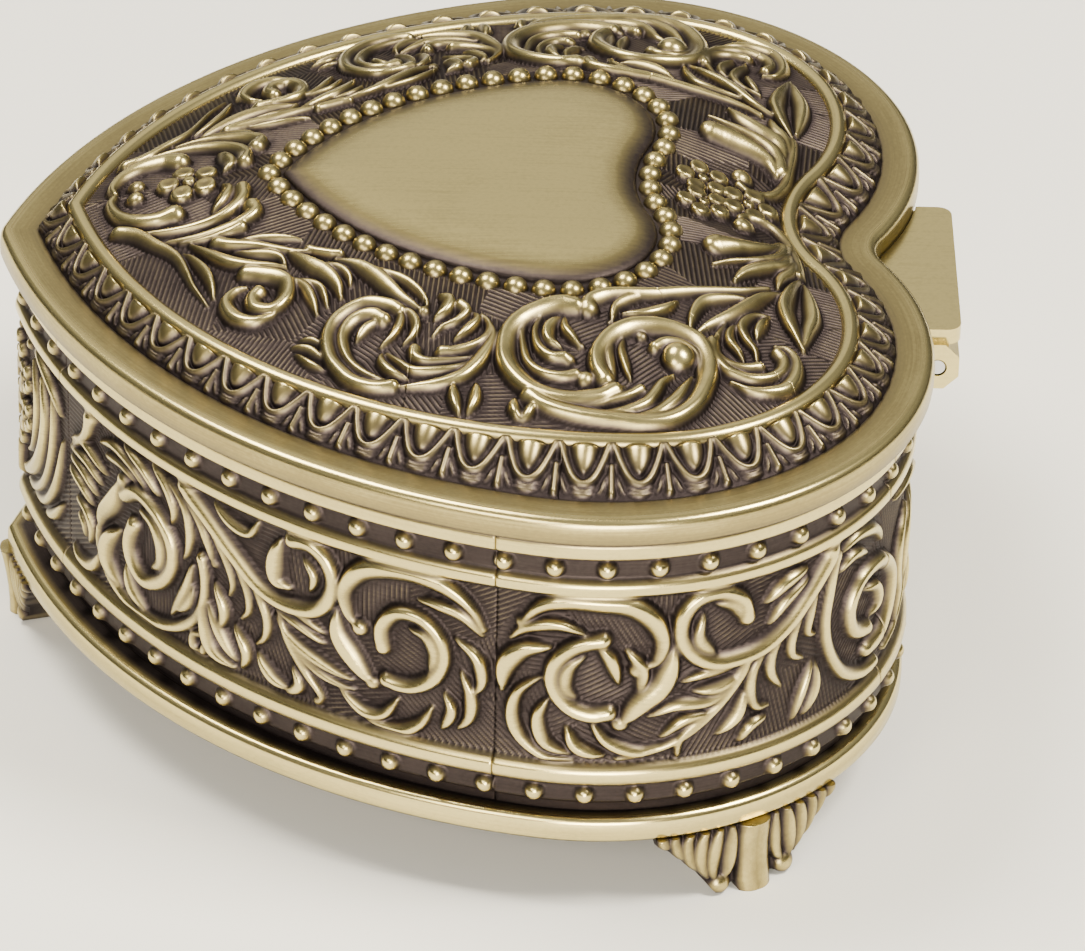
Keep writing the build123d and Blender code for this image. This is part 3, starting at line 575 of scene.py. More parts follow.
               (113, 22.6), (114.4, 20.6), (114, 18.4), (112.2, 17.4), (110.6, 18.2), (110.6, 20)),
    leaf(0.55, (101.2, 15.8), (101.6, 18.8), (100.8, 21.6), (101.6, 24.4), (103.8, 26)),
    leaf(0.5, (103.6, 18.2), (103.6, 21.2), (104.6, 23.8), (106.8, 25.2)),
    leaf(0.5, (99.6, 28.8), (102.4, 28.8), (105.2, 28.4), (108.2, 27), (110.6, 25.6)),
    leaf(0.48, (106.6, 15), (107, 17.4), (107.8, 19.6)),
    leaf(0.55, (111.4, 25.4), (114.4, 26.2), (117.4, 25.2), (119.2, 22.8), (119.2, 19.8), (117.8, 17.2)),
    leaf(0.5, (111, 15.2), (114.4, 15), (117.4, 15.8), (120, 17.8), (121.6, 20.6)),
    leaf(0.5, (113.6, 28.6), (117, 28.6), (120.4, 27), (122.4, 24.4), (122.8, 21.6)),
    leaf(0.45, (120, 15), (122, 16.2), (123.4, 18.2)),
]

WALL_BALLS = [(22.2, 26.2, 0.9), (48.1, 23.2, 0.85), (23.7, 22.4, 0.6), (71.3, 23.1, 0.85),
              (80.5, 26.4, 0.8), (49.3, 18.3, 0.8), (70, 18, 0.85), (44.2, 14.6, 0.55), (33.5, 23.6, 0.5),
              (0, 29, 0.6), (3.2, 28.8, 0.6), (3.6, 13.9, 0.5), (62, 27.2, 0.7), (93.8, 19.6, 0.6),
              (110.5, 18.4, 0.6), (124.7, 20, 0.9), (124.7, 23, 0.6)]
WALL_PETALS = flower(0.0, 19.4, 1.35, 90) + flower(0.0, 23.2, 1.35, 90) + flower(0.0, 26.6, 1.2, 90)
WALL_PETALS += flower(2.6, 21.3, 1.0, 60) + flower(2.4, 25.0, 1.0, 60) + flower(124.7, 26.6, 1.2, 90)

WALL_HATCH = [(4, 24, 30), (10, 29, 90), (12, 16, 120), (20, 24, 100), (21, 28, 60), (27, 22, 0),
              (30, 26, 50), (35, 17, 165), (39, 16.5, 20), (38, 27, 90), (36, 22, 60), (42, 26, 10),
              (47, 20, 110), (48, 27, 0), (52, 22, 60), (56, 18, 45), (57, 28, 120), (61, 22, 20),
              (63, 24, 90), (67, 22, 120), (70, 26, 30), (71, 17, 60), (74, 28, 0), (77, 26, 120),
              (78, 15, 150), (84, 16, 15), (86, 24, 60), (84, 28.5, 100), (91, 24, 140), (94, 28, 60),
              (98, 27, 20), (100, 19, 100), (106, 18, 40), (106, 27, 140), (112, 20, 0), (116, 20, 60),
              (117, 27, 100), (122, 27, 20)]

# Wall section from the bottom up: height, inset from the lid's edge, and the band's brightness from wear,
# patina and painted shade
WALL_SECTION = [(8.75, 2.5, 0), (9.8, 2.5, 0), (10.05, 1.85, 0.1), (11.85, 1.8, 0.12), (12.1, 1.3, 0.6),
                (12.6, 1.08, 1), (13.3, 1.12, 1), (13.85, 1.5, 0.5), (14.1, 2, 0.06), (29.95, 2, 0.06),
                (30.2, 1.5, 0.5), (30.5, 1.14, 1), (31.2, 1.14, 1), (31.6, 1.35, 0.6), (31.8, 1.8, 0.12),
                (33.7, 1.8, 0.12), (33.9, 1.15, 0.6), (34.15, 0.92, 1), (35.15, 0.92, 0.95),
                # The top two rows, under the lid's rim, are darkened as a painted shadow of the gap
                (35.35, 1, 0.2), (35.5, 1.15, 0.3)]
WALL_ROW = 0.14                         # height of one row of the mesh
WALL_BACK_INSET = 3.6
WALL_FIELD, WALL_FADE = (13.9, 30.4), 0.5       # heights between which the ornament lies
PANEL_JOINTS = (12.2, 59.8, 97.0)       # along the outline from the tip
JOINT_HALF_WIDTH, JOINT_DEPTH, JOINT_DARKENING = 0.16, 0.08, 0.3
# Rows of beads: height, first bead from the tip, pitch
BEAD_ROWS = [(32.75, 2.06, 4.16), (10.95, 1.7, 4.1)]
BEADS_IN_ROW, BEAD_R = 30, 0.84


# ---------------------------------------------------------------- materials


def ramp(nodes, stops):
    """A colour ramp through (place, colour) stops."""
    node = nodes.new("ShaderNodeValToRGB")
    elements = node.color_ramp.elements
    while len(elements) < len(stops):
        elements.new(0.5)
    for element, (place, colour) in zip(elements, stops):
        element.position = place
        element.color = (*colour, 1)
    return node


class Surface:
    """A new material: fixed values for its shader's inputs, and short ways to add nodes."""

    def __init__(self, name, **fixed):
        self.material = bpy.data.materials.new(name)
        self.material.use_nodes = True
        self.nodes, self.links = self.material.node_tree.nodes, self.material.node_tree.links
        self.shader = self.nodes["Principled BSDF"]
        for socket, value in fixed.items():
            self.shader.inputs[socket.replace("_", " ").title()].default_value = value

    def drive(self, socket, source):
        """Let a texture drive one of the shader's inputs."""
        self.links.new(source, self.shader.inputs[socket])

    def attribute(self, name, output):
        """A named attribute of the mesh."""
        node = self.nodes.new("ShaderNodeAttribute")
        node.attribute_name = name
        return node.outputs[output]

    def place(self):
        """Object coordinates, in metres."""
        return self.nodes.new("ShaderNodeTexCoord").outputs["Object"]

    def noise(self, place, scale, detail=3.0):
        """A noise texture. A scale of three numbers stretches it along each axis on its own."""
        node = self.nodes.new("ShaderNodeTexNoise")
        node.inputs["Detail"].default_value = detail
        if isinstance(scale, tuple):
            stretch = self.nodes.new("ShaderNodeVectorMath")
            stretch.operation = "MULTIPLY"
            stretch.inputs[1].default_value = scale
            self.links.new(place, stretch.inputs[0])
            place, scale = stretch.outputs["Vector"], 1.0
        node.inputs["Scale"].default_value = scale
        self.links.new(place, node.inputs["Vector"])
        return node.outputs["Fac"]

    def sum_of(self, first, second, factor):
        """first + factor * (second - 0.5), kept between 0 and 1. first is a number or an output."""
        scaled = self.nodes.new("ShaderNodeMath")
        scaled.operation = "MULTIPLY_ADD"
        self.links.new(second, scaled.inputs[0])
        scaled.inputs[1].default_value = factor
        scaled.inputs[2].default_value = -0.5 * factor
        total = self.nodes.new("ShaderNodeMath")
        total.use_clamp = True
        if isinstance(first, float):
            total.inputs[0].default_value = first
        else:
            self.links.new(first, total.inputs[0])
        self.links.new(scaled.outputs[0], total.inputs[1])
        return total.outputs[0]

    def colour(self, level, stops):
        """Base colour from a ramp."""
        shades = ramp(self.nodes, stops)
        self.links.new(level, shades.inputs["Fac"])
        self.drive("Base Color", shades.outputs["Color"])

    def bump(self, height, strength, distance):
        """Fine unevenness, distance in metres."""
        node = self.nodes.new("ShaderNodeBump")
        node.inputs["Strength"].default_value = strength
        node.inputs["Distance"].default_value = distance
        self.links.new(height, node.inputs["Height"])
        self.drive("Normal", node.outputs["Normal"])


# Colour of the brass from the hollows to the rubbed crests, its dark end also used as painted shade, and
# its roughness at both ends
PATINA_AND_PAINTED_SHADE = [(0.0, (0.022, 0.017, 0.018)), (0.2, (0.056, 0.044, 0.042)), (0.45, (0.145, 0.116, 0.070)),
          (0.72, (0.31, 0.25, 0.105)), (1.0, (0.66, 0.55, 0.235))]
PATINA_ROUGHNESS = (0.55, 0.22)


def antique_brass(name, streaks, along_grain=False, worn_and_shaded=None):
    """Dark patina in the hollows, brushed bright on what stands out, and painted shade where the mesh calls
    for it.

    streaks is the brushing's fineness along each axis. worn_and_shaded replaces the mesh's own
    wear_and_shade.
    """
    surface = Surface(name, metallic=1.0)
    place = surface.attribute("grain", "Vector") if along_grain else surface.place()
    brushed = surface.noise(place, streaks, 4.0)
    cloudy = surface.noise(place, 160.0)
    speckled = surface.noise(place, 2600.0, 2.0)
    level = worn_and_shaded if worn_and_shaded else surface.attribute("wear_and_shade", "Fac")
    for texture, factor in ((cloudy, 0.16), (brushed, 0.20), (speckled, 0.14)):
        level = surface.sum_of(level, texture, factor)
    surface.colour(level, PATINA_AND_PAINTED_SHADE)
    rough = surface.nodes.new("ShaderNodeMapRange")
    rough.inputs["To Min"].default_value, rough.inputs["To Max"].default_value = PATINA_ROUGHNESS
    surface.links.new(level, rough.inputs["Value"])
    surface.drive("Roughness", surface.sum_of(rough.outputs["Result"], brushed, 0.16))
    surface.bump(brushed, 0.10, 0.00006)
    return surface.material


def steel(name):
    """Bright turned steel of the pin and the screws."""
    surface = Surface(name, metallic=1.0)
    turned = surface.noise(surface.place(), (9000.0, 300.0, 300.0))
    surface.colour(turned, [(0.25, (0.42, 0.42, 0.43)), (0.75, (0.72, 0.72, 0.73))])
    surface.drive("Roughness", surface.sum_of(0.28, turned, 0.2))
    return surface.material


def velvet(name):
    """Short dark red pile with soft sheen, brushed in cloudy patches."""
    surface = Surface(name, roughness=0.95, sheen_weight=0.3, sheen_roughness=0.35,
                      sheen_tint=(0.8, 0.2, 0.25, 1))
    place = surface.place()
    pile = surface.noise(place, 7000.0, 2.0)
    level = surface.sum_of(surface.noise(place, 90.0, 4.0), pile, 0.5)
    surface.colour(level, [(0.25, (0.040, 0.002, 0.005)), (0.75, (0.105, 0.006, 0.013))])
    surface.bump(pile, 0.5, 0.00012)
    return surface.material


RELIEF = antique_brass("antique_brass_relief", (700.0, 700.0, 700.0))
ROUND = antique_brass("antique_brass_brushed_round", (90.0, 5200.0, 5200.0), along_grain=True)
STRAIGHT = antique_brass("antique_brass_brushed_straight", (4200.0, 90.0, 4200.0))
HARDWARE = antique_brass("antique_brass_hardware", (4200.0, 120.0, 4200.0), worn_and_shaded=1.0)
STEEL = steel("bright_steel")
VELVET = velvet("dark_red_velvet")


# ---------------------------------------------------------------- lid

# Heights on the lid: top of the rim, foot and rise of the field, floor of the bead channel
RIM_Z, FIELD_Z, FIELD_RISE, CHANNEL_Z = 38.1, 40.25, 3.65, 43.8
RIB_Z, RIB_HALF_WIDTH, RIB_HALF_HEIGHT, RIB_SIDES = 40.15, 0.82, 0.78, 18
RING_BEADS, RING_BEAD_Z, RING_BEAD_R = 47, 43.75, 1.06


def build_rim():
    """Outer band of the lid: rounded edge, slightly hollow ledge and the flat underside."""
    # The underside and its lower outer edge are darkened as a painted shadow of the gap over the walls
    section = [(3.45, 36.9, 0.5), (3.4, 35.9, 0.45), (0.3, 35.9, 0.35), (0.08, 35.97, 0.3),
               (0.0, 36.15, 0.6), (-0.02, 36.9, 0.72), (0.03, 37.6, 0.8), (0.14, 37.9, 0.98),
               (0.34, 38.1, 1.0), (0.62, 38.22, 0.92), (1.3, 38.19, 0.76), (2.2, 38.14, 0.72),
               (3.0, 38.16, 0.6), (3.35, 38.1, 0.15), (3.9, 37.6, 0.05)]
    rim = heart_loft("lid_rim", [(EDGE, *row) for row in section], "lid", ROUND, 520)
    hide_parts("lid_cover")


# One egg of the border, (along, across from the rim): a V-shaped frame, the fan at its foot and darts
BAND_PITCH, BAND_DEPTH = 4.4, 5.0
EGG_END, EGG_LENGTH, EGG_HALF_WIDTH, EGG_RISE = 4.7, 2.6, 1.2, 0.95
BAND_FRAME = [even(0.36, (-2.0, 4.75), (-1.5, 3.3), (-0.9, 1.95), (-0.3, 1.35), (0.3, 1.35), (0.9, 1.95),
                   (1.5, 3.3), (2.0, 4.75)),
              leaf(0.18, (-1.0, 1.15), (-0.4, 0.75), (0.0, 0.7), (0.4, 0.75), (1.0, 1.15)),
              leaf(0.15, (-0.9, 0.7), (-0.4, 0.4), (0.4, 0.4), (0.9, 0.7))]
for hand in (1, -1):
    BAND_FRAME += [even(0.28, (2.2 * hand, 0.5), (2.2 * hand, 1.4), (2.2 * hand, 2.9)),
                   leaf(0.17, (1.2 * hand, 0.5), (1.5 * hand, 1.0), (1.75 * hand, 2.1))]


def nearest_on(curve, points):
    """For each point the nearest one on a curve of many points."""
    square = ((points[:, None] - curve[None]) ** 2).sum(2)
    return curve[square.argmin(1)]


def egg(u, v):
    """Height of the egg: a dome that is square towards the rib and pointed outwards."""
    reach = (EGG_END - v) / EGG_LENGTH
    half_width = EGG_HALF_WIDTH * np.sqrt(np.clip(1 - reach.clip(0, 1) ** 2, 0, 1))
    dome = np.clip(1 - (u / np.maximum(half_width, 0.05)) ** 2, 0, 1) * (reach > 0) * (reach < 1)
    end = np.clip((EGG_END + 0.05 - v) / 0.25, 0, 1)
    return EGG_RISE * np.sqrt(dome * (1 - 0.8 * reach.clip(0, 1) ** 2)) * end


def build_band():
    """Egg-and-dart band between the rim and the rib."""
    columns = half_columns(860)
    outer = EDGE.half(3.2, columns)
    inner = nearest_on(RIB.half(-0.55, half_columns(9000)), outer)
    outwards = EDGE.normals(columns)
    rows = np.linspace(0, 1, 46)
    middle = length_along(0.5 * (outer + inner))
    eggs = round(middle[-1] / BAND_PITCH)
    u, v = field_grid(((middle / middle[-1] * eggs + 0.5) % 1.0 - 0.5) * BAND_PITCH, BAND_DEPTH * rows)
    height = np.zeros(u.shape)
    add_ridges(height, u, v, BAND_FRAME, 0.75, 1.25, 0.0)
    height = blurred(np.maximum(height, egg(u, v)), 1)
    # The slope faces up and outwards, and the relief rises square to it
    plan = between(outer, inner, rows) + outwards[:, None] * 0.36 * height[..., None]
    top = lift(plan, RIM_Z + (FIELD_Z - RIM_Z) * rows**0.9 + 0.92 * height)
    low = np.stack([lift(EDGE.half(3.3, columns), 37.3), lift(inner - outwards * 0.3, 38.7)], 1)
    half = len(columns) - 1
    spans = {"lid_egg_band_front": (-half // 2, half // 2), "lid_egg_band_right": (half // 2, half),
             "lid_egg_band_left": (half, 2 * half - half // 2)}
    grid_solids(spans, top, low, 0.9 * wear_of(height, 0.8), "lid", RELIEF)


def build_rib():
    """Rounded rib round the ornament."""
    turns = np.linspace(0, 2 * pi, RIB_SIDES, endpoint=False)[::-1]
    section = [(RIB, RIB_HALF_WIDTH * cos(a), RIB_Z + RIB_HALF_HEIGHT * sin(a),
                0.35 + 0.65 * max(0.0, sin(a)) ** 0.5) for a in turns]
    heart_loft("lid_rib", section, "lid", ROUND)


def build_field():
    """Raised scrollwork between the rib and the beads."""
    columns = half_columns(900)
    rows = np.linspace(0, 1, 150)
    plan = between(RIB.half(0.2, columns), RING.half(-0.75, columns), rows)
    u, v = plan[..., 0], plan[..., 1]
    height = np.zeros(u.shape)
    add_ridges(height, u, v, LID_RIDGES, 1.0)
    add_balls(height, u, v, LID_BALLS, 1.05)
    add_petals(height, u, v, LID_PETALS)
    height = blurred(height, 1)
    add_hatch(height, u, v, LID_HATCH)
    top = lift(plan, FIELD_Z + FIELD_RISE * rows**0.92 + height)
    low = np.stack([lift(RIB.half(0.5, columns), 39.4), lift(RING.half(-0.2, columns), 42.9)], 1)
    half = len(columns) - 1
    cuts = [-half // 3, half // 3, half - half // 3, half + half // 3, 2 * half - half // 3]
    names = ("lid_scrollwork_tip", "lid_scrollwork_right", "lid_scrollwork_cleft", "lid_scrollwork_left")
    spans = dict(zip(names, zip(cuts, cuts[1:])))
    grid_solids(spans, top, low, wear_of(height), "lid", RELIEF)


def ball_mesh(centre, radius, rings=9, around=16):
    """Vertices and faces of a round bead."""
    turns = [2 * pi * a / around for a in range(around)]
    spots = [(0, 0, 1)]
    for r in range(1, rings):
        tilt = pi * r / rings
        spots += [(sin(tilt) * cos(turn), sin(tilt) * sin(turn), cos(tilt)) for turn in turns]
    spots.append((0, 0, -1))
    last = len(spots) - 1
    faces = []
    for a in range(around):
        b = (a + 1) % around
        faces.append([0, 1 + a, 1 + b])
        for first in range(1, last - around, around):
            faces.append([first + a, first + around + a, first + around + b, first + b])
        faces.append([last - around + a, last, last - around + b])
    return np.array(centre) + radius * np.array(spots), faces


def build_beads():
    """Ring of round beads in a dark channel round the plaque."""
    line = RING.half(0.0, half_columns(600))
    along = length_along(line)
    at = np.arange(RING_BEADS // 2 + 1) * along[-1] / (RING_BEADS / 2)
    half = np.stack([np.interp(at, along, line[:, 0]), np.interp(at, along, line[:, 1])], 1)
    places = np.concatenate([half, half[1:] * (-1, 1)])
    verts, faces = [], []
    for x, y in places:
        more, sides = ball_mesh((x, y, RING_BEAD_Z), RING_BEAD_R)
        faces += [[len(verts) + index for index in side] for side in sides]
        verts += more.tolist()
    wear_and_shade = [0.05 + 0.8 * min(1.0, max(0.0, (z - 43.6) / 0.8)) for _, _, z in verts]
    make_object("lid_bead_ring", verts, faces, "lid", RELIEF, wear_and_shade)
    channel = [(-0.95, -0.8, 0.05), (-0.95, 0.05, 0.15), (-0.6, 0.15, 0.1), (0.0, 0.0, 0.0),
               (0.8, 0.15, 0.1), (1.3, 0.2, 0.1), (1.3, -0.8, 0.0)]
    section = [(RING, inset, CHANNEL_Z + z, worn_and_shaded) for inset, z, worn_and_shaded in channel]
    heart_loft("lid_bead_channel", section, "lid", ROUND)


def build_plaque():
    """Smooth pillowed plaque in the middle of the lid."""
    # The falling edge darkens towards the bead channel: partly patina, partly painted shade
    section = [(1.15, 43.3, 0.0), (1.15, 43.95, 0.0), (1.2, 44.12, 0.03), (1.35, 44.26, 0.1),
               (1.65, 44.4, 0.22), (2.2, 44.56, 0.5), (3.0, 44.7, 0.82), (4.0, 44.81, 0.96),
               (5.2, 44.91, 1.0), (6.3, 44.96, 1.0), (7.2, 44.985, 1.0)]
    plaque = heart_loft("lid_plaque_face", [(RING, *row) for row in section], "lid", STRAIGHT, 260, True)
    plaque.data.polygons[-1].use_smooth = True
    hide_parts("lid_plaque")


# ---------------------------------------------------------------- walls


def build_walls():
    """The cast wall panels with beads, ridges and scrollwork, meeting in narrow joints."""
    columns = half_columns(900)
    along = length_along(EDGE.half(1.6, columns))
    levels, level_insets, level_wear_and_shade = np.array(WALL_SECTION).T
    heights = np.arange(levels[0], levels[-1] + 0.01, WALL_ROW)
    insets = np.interp(heights, levels, level_insets)
    insets[1:-1] = (insets[:-2] + 2 * insets[1:-1] + insets[2:]) / 4
    band_wear_and_shade = np.interp(heights, levels, level_wear_and_shade)
    u, v = field_grid(along, heights)
    height = np.zeros(u.shape)
    add_ridges(height, u, v, WALL_RIDGES, 0.95, 1.55)
    add_balls(height, u, v, WALL_BALLS)
    add_petals(height, u, v, WALL_PETALS)
    # The ornament sinks into the plain bands above and below it
    low_edge, high_edge = WALL_FIELD
    height *= np.clip((v - low_edge) / WALL_FADE, 0, 1) * np.clip((high_edge - v) / WALL_FADE, 0, 1)
    for level, first, pitch in BEAD_ROWS:
        add_balls(height, u, v, [(first + pitch * k, level, BEAD_R) for k in range(BEADS_IN_ROW)])
    height = blurred(height, 1)
    hatched = height.copy()
    add_hatch(hatched, u, v, WALL_HATCH)
    height = np.where((v > low_edge + 0.1) & (v < high_edge - 0.3), hatched, height)
    # Wear and patina of the relief, kept at least as bright as each band, whose top rows are a painted
    # shadow of the gap under the lid
    wear_and_shade = np.maximum(wear_of(height), band_wear_and_shade[None])
    # Joints: a narrow groove where two panels meet
    for joint in PANEL_JOINTS:
        groove = np.clip(1 - np.abs(along - joint) / JOINT_HALF_WIDTH, 0, 1)[:, None]
        height -= JOINT_DEPTH * groove
        wear_and_shade *= 1 - JOINT_DARKENING * groove
    plan = np.stack([EDGE.half(inset, columns) for inset in insets], 1)
    plan += EDGE.normals(columns)[:, None] * height[..., None]
    # On the axis the two halves meet, so nothing may cross it
    plan[[0, -1], :, 0] = 0
    back = EDGE.half(WALL_BACK_INSET, columns)
    low = np.stack([lift(back, heights[0]), lift(back, heights[-1])], 1)
    grains = both_halves(np.stack([u, v, v], -1), False)
    tip, side, lobe = [int(np.argmin(np.abs(along - joint))) for joint in PANEL_JOINTS]
    end = 2 * (len(columns) - 1)
    panels = {"wall_tip": (-tip, tip), "wall_side_right": (tip, side), "wall_lobe_right": (side, lobe),
              "wall_back": (lobe, end - lobe), "wall_lobe_left": (end - lobe, end - side),
              "wall_side_left": (end - side, end - tip)}
    spans = {name + "_relief": span for name, span in panels.items()}
    pieces = grid_solids(spans, lift(plan, v), low, wear_and_shade, "box", ROUND)
    for piece, (name, (first, last)) in zip(pieces, panels.items()):
        grain = stretch_of(grains, first, last).reshape(-1, 3)
        add_grain(piece, np.concatenate([grain, np.zeros((2 * (last - first + 1), 3))]))
        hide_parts(name)


# ---------------------------------------------------------------- base, feet and linings


def build_base():
    """Base plate with a rounded edge, and the plinth inside the walls."""
    edge = [(0.5, 6.4, 0.4), (0.16, 6.48, 0.8), (0.0, 6.75, 1.0), (-0.02, 7.5, 0.95), (0.02, 8.2, 1.0),
            (0.18, 8.5, 1.0), (0.5, 8.64, 1.0), (0.95, 8.68, 0.5), (1.4, 8.7, 0.15)]
    plinth = [(EDGE, 3.75, 8.72, 0.1), (EDGE, 3.8, 9.6, 0.1)]
    plate = heart_loft("base_plate_body", [(BASE, *row) for row in edge] + plinth, "box", ROUND, 520, True)
    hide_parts("base_plate")


# Lower edge of half a foot, (distance from its middle, height), and its folds
FOOT_EDGE = [(0.0, 0.0), (1.45, 0.0), (1.62, 0.75), (2.0, 0.5), (2.6, 0.15), (3.4, 0.3), (4.1, 1.2),
             (5.2, 2.7), (6.3, 3.9), (7.3, 4.8), (8.4, 5.7)]
FOOT_RIDGES = [
    even(1.15, (0.0, -0.6), (0.0, 3.0), (0.0, 7.0)),
    leaf(0.62, (2.0, 6.6), (2.1, 4.6), (2.3, 2.6), (2.9, 1.2)),
    leaf(0.66, (3.0, 6.7), (3.3, 4.8), (3.5, 3.0), (3.4, 1.3)),
    leaf(0.66, (4.2, 6.8), (4.5, 5.2), (4.5, 3.6), (4.0, 1.8)),
    leaf(0.6, (5.4, 6.8), (5.7, 5.6), (5.5, 4.2), (4.8, 2.6)),
    leaf(0.55, (6.7, 6.8), (6.8, 6.0), (6.4, 5.0), (5.7, 3.8)),
    leaf(0.5, (8.0, 6.8), (7.8, 6.2), (7.2, 5.3)),
]
FOOT_HALF, FOOT_TOP = 8.4, 6.42
FOOT_BALL = (3.0, 1.05, 1.0)
FOOT_FRONT_INSET, FOOT_BACK_INSET = 1.06, 3.56
LOBE_FOOT_ANGLE = 31.0                  # about the lobe's centre, in degrees
TIP_FOOT_NARROWING, FOOT_SPLAY = 0.7, 0.9
PAD_MIDDLE_Y = 4.0                      # where the rings of a velvet pad close in


def build_foot(name, frame_at, narrowing=1.0, splay=0.0):
    """A foot under the base's edge. frame_at gives the outline's points and outward directions."""
    across = np.linspace(-FOOT_HALF, FOOT_HALF, 169)
    edge = np.interp(np.abs(across), *np.array(FOOT_EDGE).T)
    rows = np.linspace(0, 1, 60)
    u, share = field_grid(np.abs(across), rows)
    v = edge[:, None] * (1 - share) + FOOT_TOP * share
    height = np.zeros(u.shape)
    add_ridges(height, u, v, FOOT_RIDGES, 1.0)
    add_balls(height, u, v, [FOOT_BALL])
    lean = 0.7 * (v / FOOT_TOP) ** 2 + splay * (1 - v / FOOT_TOP) ** 2
    points, outward = frame_at(across * narrowing)
    plan = points[:, None] + outward[:, None] * (height * 0.85 + lean)[..., None]
    behind = points - outward * (FOOT_BACK_INSET - FOOT_FRONT_INSET)
    low = np.stack([lift(behind, edge), lift(behind, FOOT_TOP)], 1)
    casting = grid_solid(name + "_casting", lift(plan, v), low, wear_of(height, 0.8), "box", RELIEF)
    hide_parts(name)


def tip_frame(across):
    """Outline round the tip: straight flanks joined by a small round."""
    columns = half_columns(4000)
    line = BASE.half(FOOT_FRONT_INSET, columns)
    along = length_along(line)
    flip = np.stack([np.where(across < 0, -1, 1), np.ones_like(across)], 1)
    return [np.stack([np.interp(np.abs(across), along, values) for values in grid.T], 1) * flip
            for grid in (line, BASE.normals(columns))]


def lobe_frame(hand):
    """Outline round a lobe, centred on its foot. The left foot (hand -1) mirrors the right one."""
    def frame_at(across):
        radius = BASE.lobe_r - FOOT_FRONT_INSET
        angle = radians(LOBE_FOOT_ANGLE) + hand * across / radius
        facing = np.stack([np.cos(angle), np.sin(angle)], 1)
        flip = np.array([hand, 1])
        return (BASE.lobe + radius * facing) * flip, facing * flip
    return frame_at


def build_pad(name, node, body, inset, low, high, dome, facing_up):
    """A velvet pad over a card: soft rounded edge and a slightly full middle."""
    columns = half_columns(260)
    section = [(0.0, 0.0), (-0.12, 0.3), (0.0, 0.72), (0.35, 0.93), (1.0, 1.0)]
    loops = [lift(both_halves(EDGE.half(inset + in_by, columns)), low + (high - low) * share)
             for in_by, share in section]
    crown = both_halves(EDGE.half(inset + section[-1][0], columns))
    for share in np.linspace(0.12, 0.92, 12):
        inward = crown * (1 - share) + np.array([0, PAD_MIDDLE_Y]) * share
        loops.append(lift(inward, high + dome * sin(0.5 * pi * share)))
    # Turned over, its loops run the other way round, so that the faces still point out
    if not facing_up:
        loops = [np.stack([loop[:, 0], loop[:, 1], low + high - loop[:, 2]], 1)[::-1] for loop in loops]
    pad = loft(name, loops, body, VELVET, 1.0, True)
    pad.data.polygons[-1].use_smooth = True
    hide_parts(node)


def build_wall_linings():
    """Velvet round the inside of the wall, with a rolled top edge and faint waves."""
    columns = half_columns(360)
    section = [(4.72, 9.8), (3.78, 9.8), (3.76, 22.0), (3.78, 33.2), (3.92, 33.9), (4.25, 34.15),
               (4.58, 33.9), (4.7, 33.2), (4.66, 28.0), (4.7, 22.0), (4.66, 16.0)]
    along = length_along(EDGE.half(4.2, columns))
    wave = 0.05 * np.sin(along * 0.35) * np.sin(along * 0.11 + 1.0)
    inwards = EDGE.normals(columns) * wave[:, None]
    loops = [lift(EDGE.half(inset, columns) - inwards * (inset > 4.6), z) for inset, z in section]
    grid = np.stack(loops, 1)
    grid[..., 0] = np.maximum(grid[..., 0], 0.05)
    n, rows = grid.shape[:2]
    faces = [[i * rows + r, (i + 1) * rows + r, (i + 1) * rows + (r + 1) % rows, i * rows + (r + 1) % rows]
             for i in range(n - 1) for r in range(rows)]
    faces += [list(range(rows)), [(n - 1) * rows + r for r in range(rows - 1, -1, -1)]]
    caps = (len(faces) - 2, len(faces) - 1)
    # The mirrored grid has its columns reversed, so that its faces still point out
    for hand, shown in (("right", grid), ("left", grid[::-1] * (-1, 1, 1))):
        piece = make_object(f"wall_velvet_{hand}", shown.reshape(-1, 3), faces, "box", VELVET, None, caps)
        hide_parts(f"wall_lining_{hand}")


build_rim()
build_band()
build_rib()
build_field()
build_beads()
build_plaque()
build_walls()
build_base()
build_foot("foot_tip", tip_frame, TIP_FOOT_NARROWING)
build_foot("foot_right", lobe_frame(1), splay=FOOT_SPLAY)
build_foot("foot_left", lobe_frame(-1), splay=FOOT_SPLAY)
build_pad("lid_velvet", "lid_lining", "lid", 3.5, 35.95, 36.9, 0.0, False)
build_pad("floor_velvet", "floor_lining", "box", 4.9, 9.65, 11.2, 0.35, True)
build_wall_linings()

for node in ("hinge_leaf", "hinge_bracket", "hinge_pin", "foot_screws", "bracket_screws", "leaf_screws"):
    cad_part = bpy.data.objects[node]
    cad_part.data.materials.clear()
    cad_part.data.materials.append(HARDWARE if node in ("hinge_leaf", "hinge_bracket") else STEEL)


# ---------------------------------------------------------------- floor, light and camera, in metres


def build_floor():
    """Plain pale floor."""
    mesh = bpy.data.meshes.new("studio_floor")
    reach = 3.0
    corners = [(-reach, -reach, 0), (reach, -reach, 0), (reach, reach, 0), (-reach, reach, 0)]
    mesh.from_pydata(corners, [], [(0, 1, 2, 3)])
    floor = bpy.data.objects.new("studio_floor", mesh)
    bpy.context.collection.objects.link(floor)
    mesh.materials.append(Surface("studio_paper", base_color=(0.85, 0.84, 0.82, 1), roughness=0.9).material)


def area_light(name, place, aim_z, size, power):
    """A square soft warm light at a place, turned to a height on the box's axis."""
    data = bpy.data.lights.new(name, "AREA")
    data.shape = "SQUARE"
    data.size, data.energy = size, power
    data.color = (1.0, 0.93, 0.76)
    lamp = bpy.data.objects.new(name, data)
    bpy.context.collection.objects.link(lamp)
    lamp.location = place
    lamp.rotation_euler = (Vector((0, 0, aim_z)) - Vector(place)).to_track_quat("-Z", "Y").to_euler()


# The photograph's view, from the fit to its outlines: the heart's tip is on the left
CAMERA_AZIMUTH, CAMERA_ELEVATION, CAMERA_ROLL = radians(89.576), radians(32.89), radians(1.419)
CAMERA_DISTANCE, CAMERA_TARGET = 0.57775, Vector((0, 0.00579, 0.014745))
SENSOR_WIDTH, FOCAL_LENGTH = 36.0, 224.46


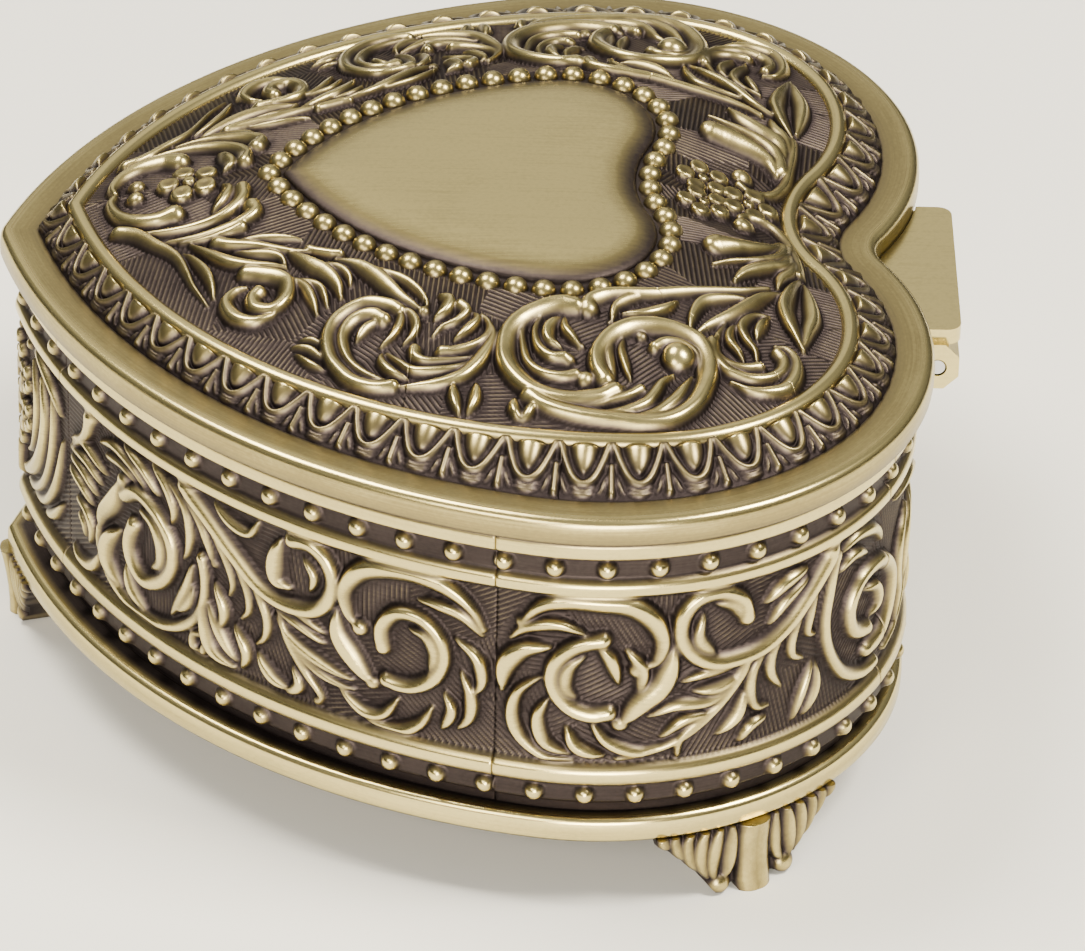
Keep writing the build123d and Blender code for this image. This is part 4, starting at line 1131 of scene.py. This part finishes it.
def build_camera():
    """Camera at the height and side that show the right flank and the lid."""
    level = cos(CAMERA_ELEVATION)
    back = Vector((sin(CAMERA_AZIMUTH) * level, -cos(CAMERA_AZIMUTH) * level, sin(CAMERA_ELEVATION)))
    right = (-back).cross(Vector((0, 0, 1))).normalized()
    up = right.cross(-back)
    rolled_right = right * cos(CAMERA_ROLL) + up * sin(CAMERA_ROLL)
    rolled_up = up * cos(CAMERA_ROLL) - right * sin(CAMERA_ROLL)
    data = bpy.data.cameras.new("camera")
    data.sensor_width, data.lens = SENSOR_WIDTH, FOCAL_LENGTH
    camera = bpy.data.objects.new("camera", data)
    bpy.context.collection.objects.link(camera)
    turn = Matrix((rolled_right, rolled_up, back)).transposed().to_4x4()
    camera.matrix_world = Matrix.Translation(CAMERA_TARGET + back * CAMERA_DISTANCE) @ turn
    bpy.context.scene.camera = camera


# Brightness of the surroundings from straight down (0) to straight up (1)
SKY = [(0.0, 0.05), (0.2, 0.12), (0.5, 0.28), (0.75, 0.4), (1.0, 0.34)]


def build_world():
    """Plain surroundings: dim low down and brighter overhead, as under a large soft light."""
    world = bpy.data.worlds.new("studio")
    world.use_nodes = True
    nodes, links = world.node_tree.nodes, world.node_tree.links
    split = nodes.new("ShaderNodeSeparateXYZ")
    links.new(nodes.new("ShaderNodeTexCoord").outputs["Generated"], split.inputs[0])
    shade = ramp(nodes, [(place, (grey, grey, grey)) for place, grey in SKY])
    links.new(split.outputs["Z"], shade.inputs["Fac"])
    links.new(shade.outputs["Color"], nodes["Background"].inputs["Color"])
    nodes["Background"].inputs["Strength"].default_value = 1.0
    bpy.context.scene.world = world


build_floor()
build_world()
area_light("key", (0.1, 0.35, 0.6), 0.03, 0.22, 8.0)
area_light("top", (-0.1, -0.25, 0.65), 0.04, 0.3, 7.0)
area_light("side", (0.55, -0.25, 0.35), 0.02, 0.25, 2.2)
area_light("front", (0.7, 0.05, 0.14), 0.02, 0.3, 8.0)
area_light("back", (-0.65, -0.1, 0.46), 0.04, 0.6, 0.7)
build_camera()
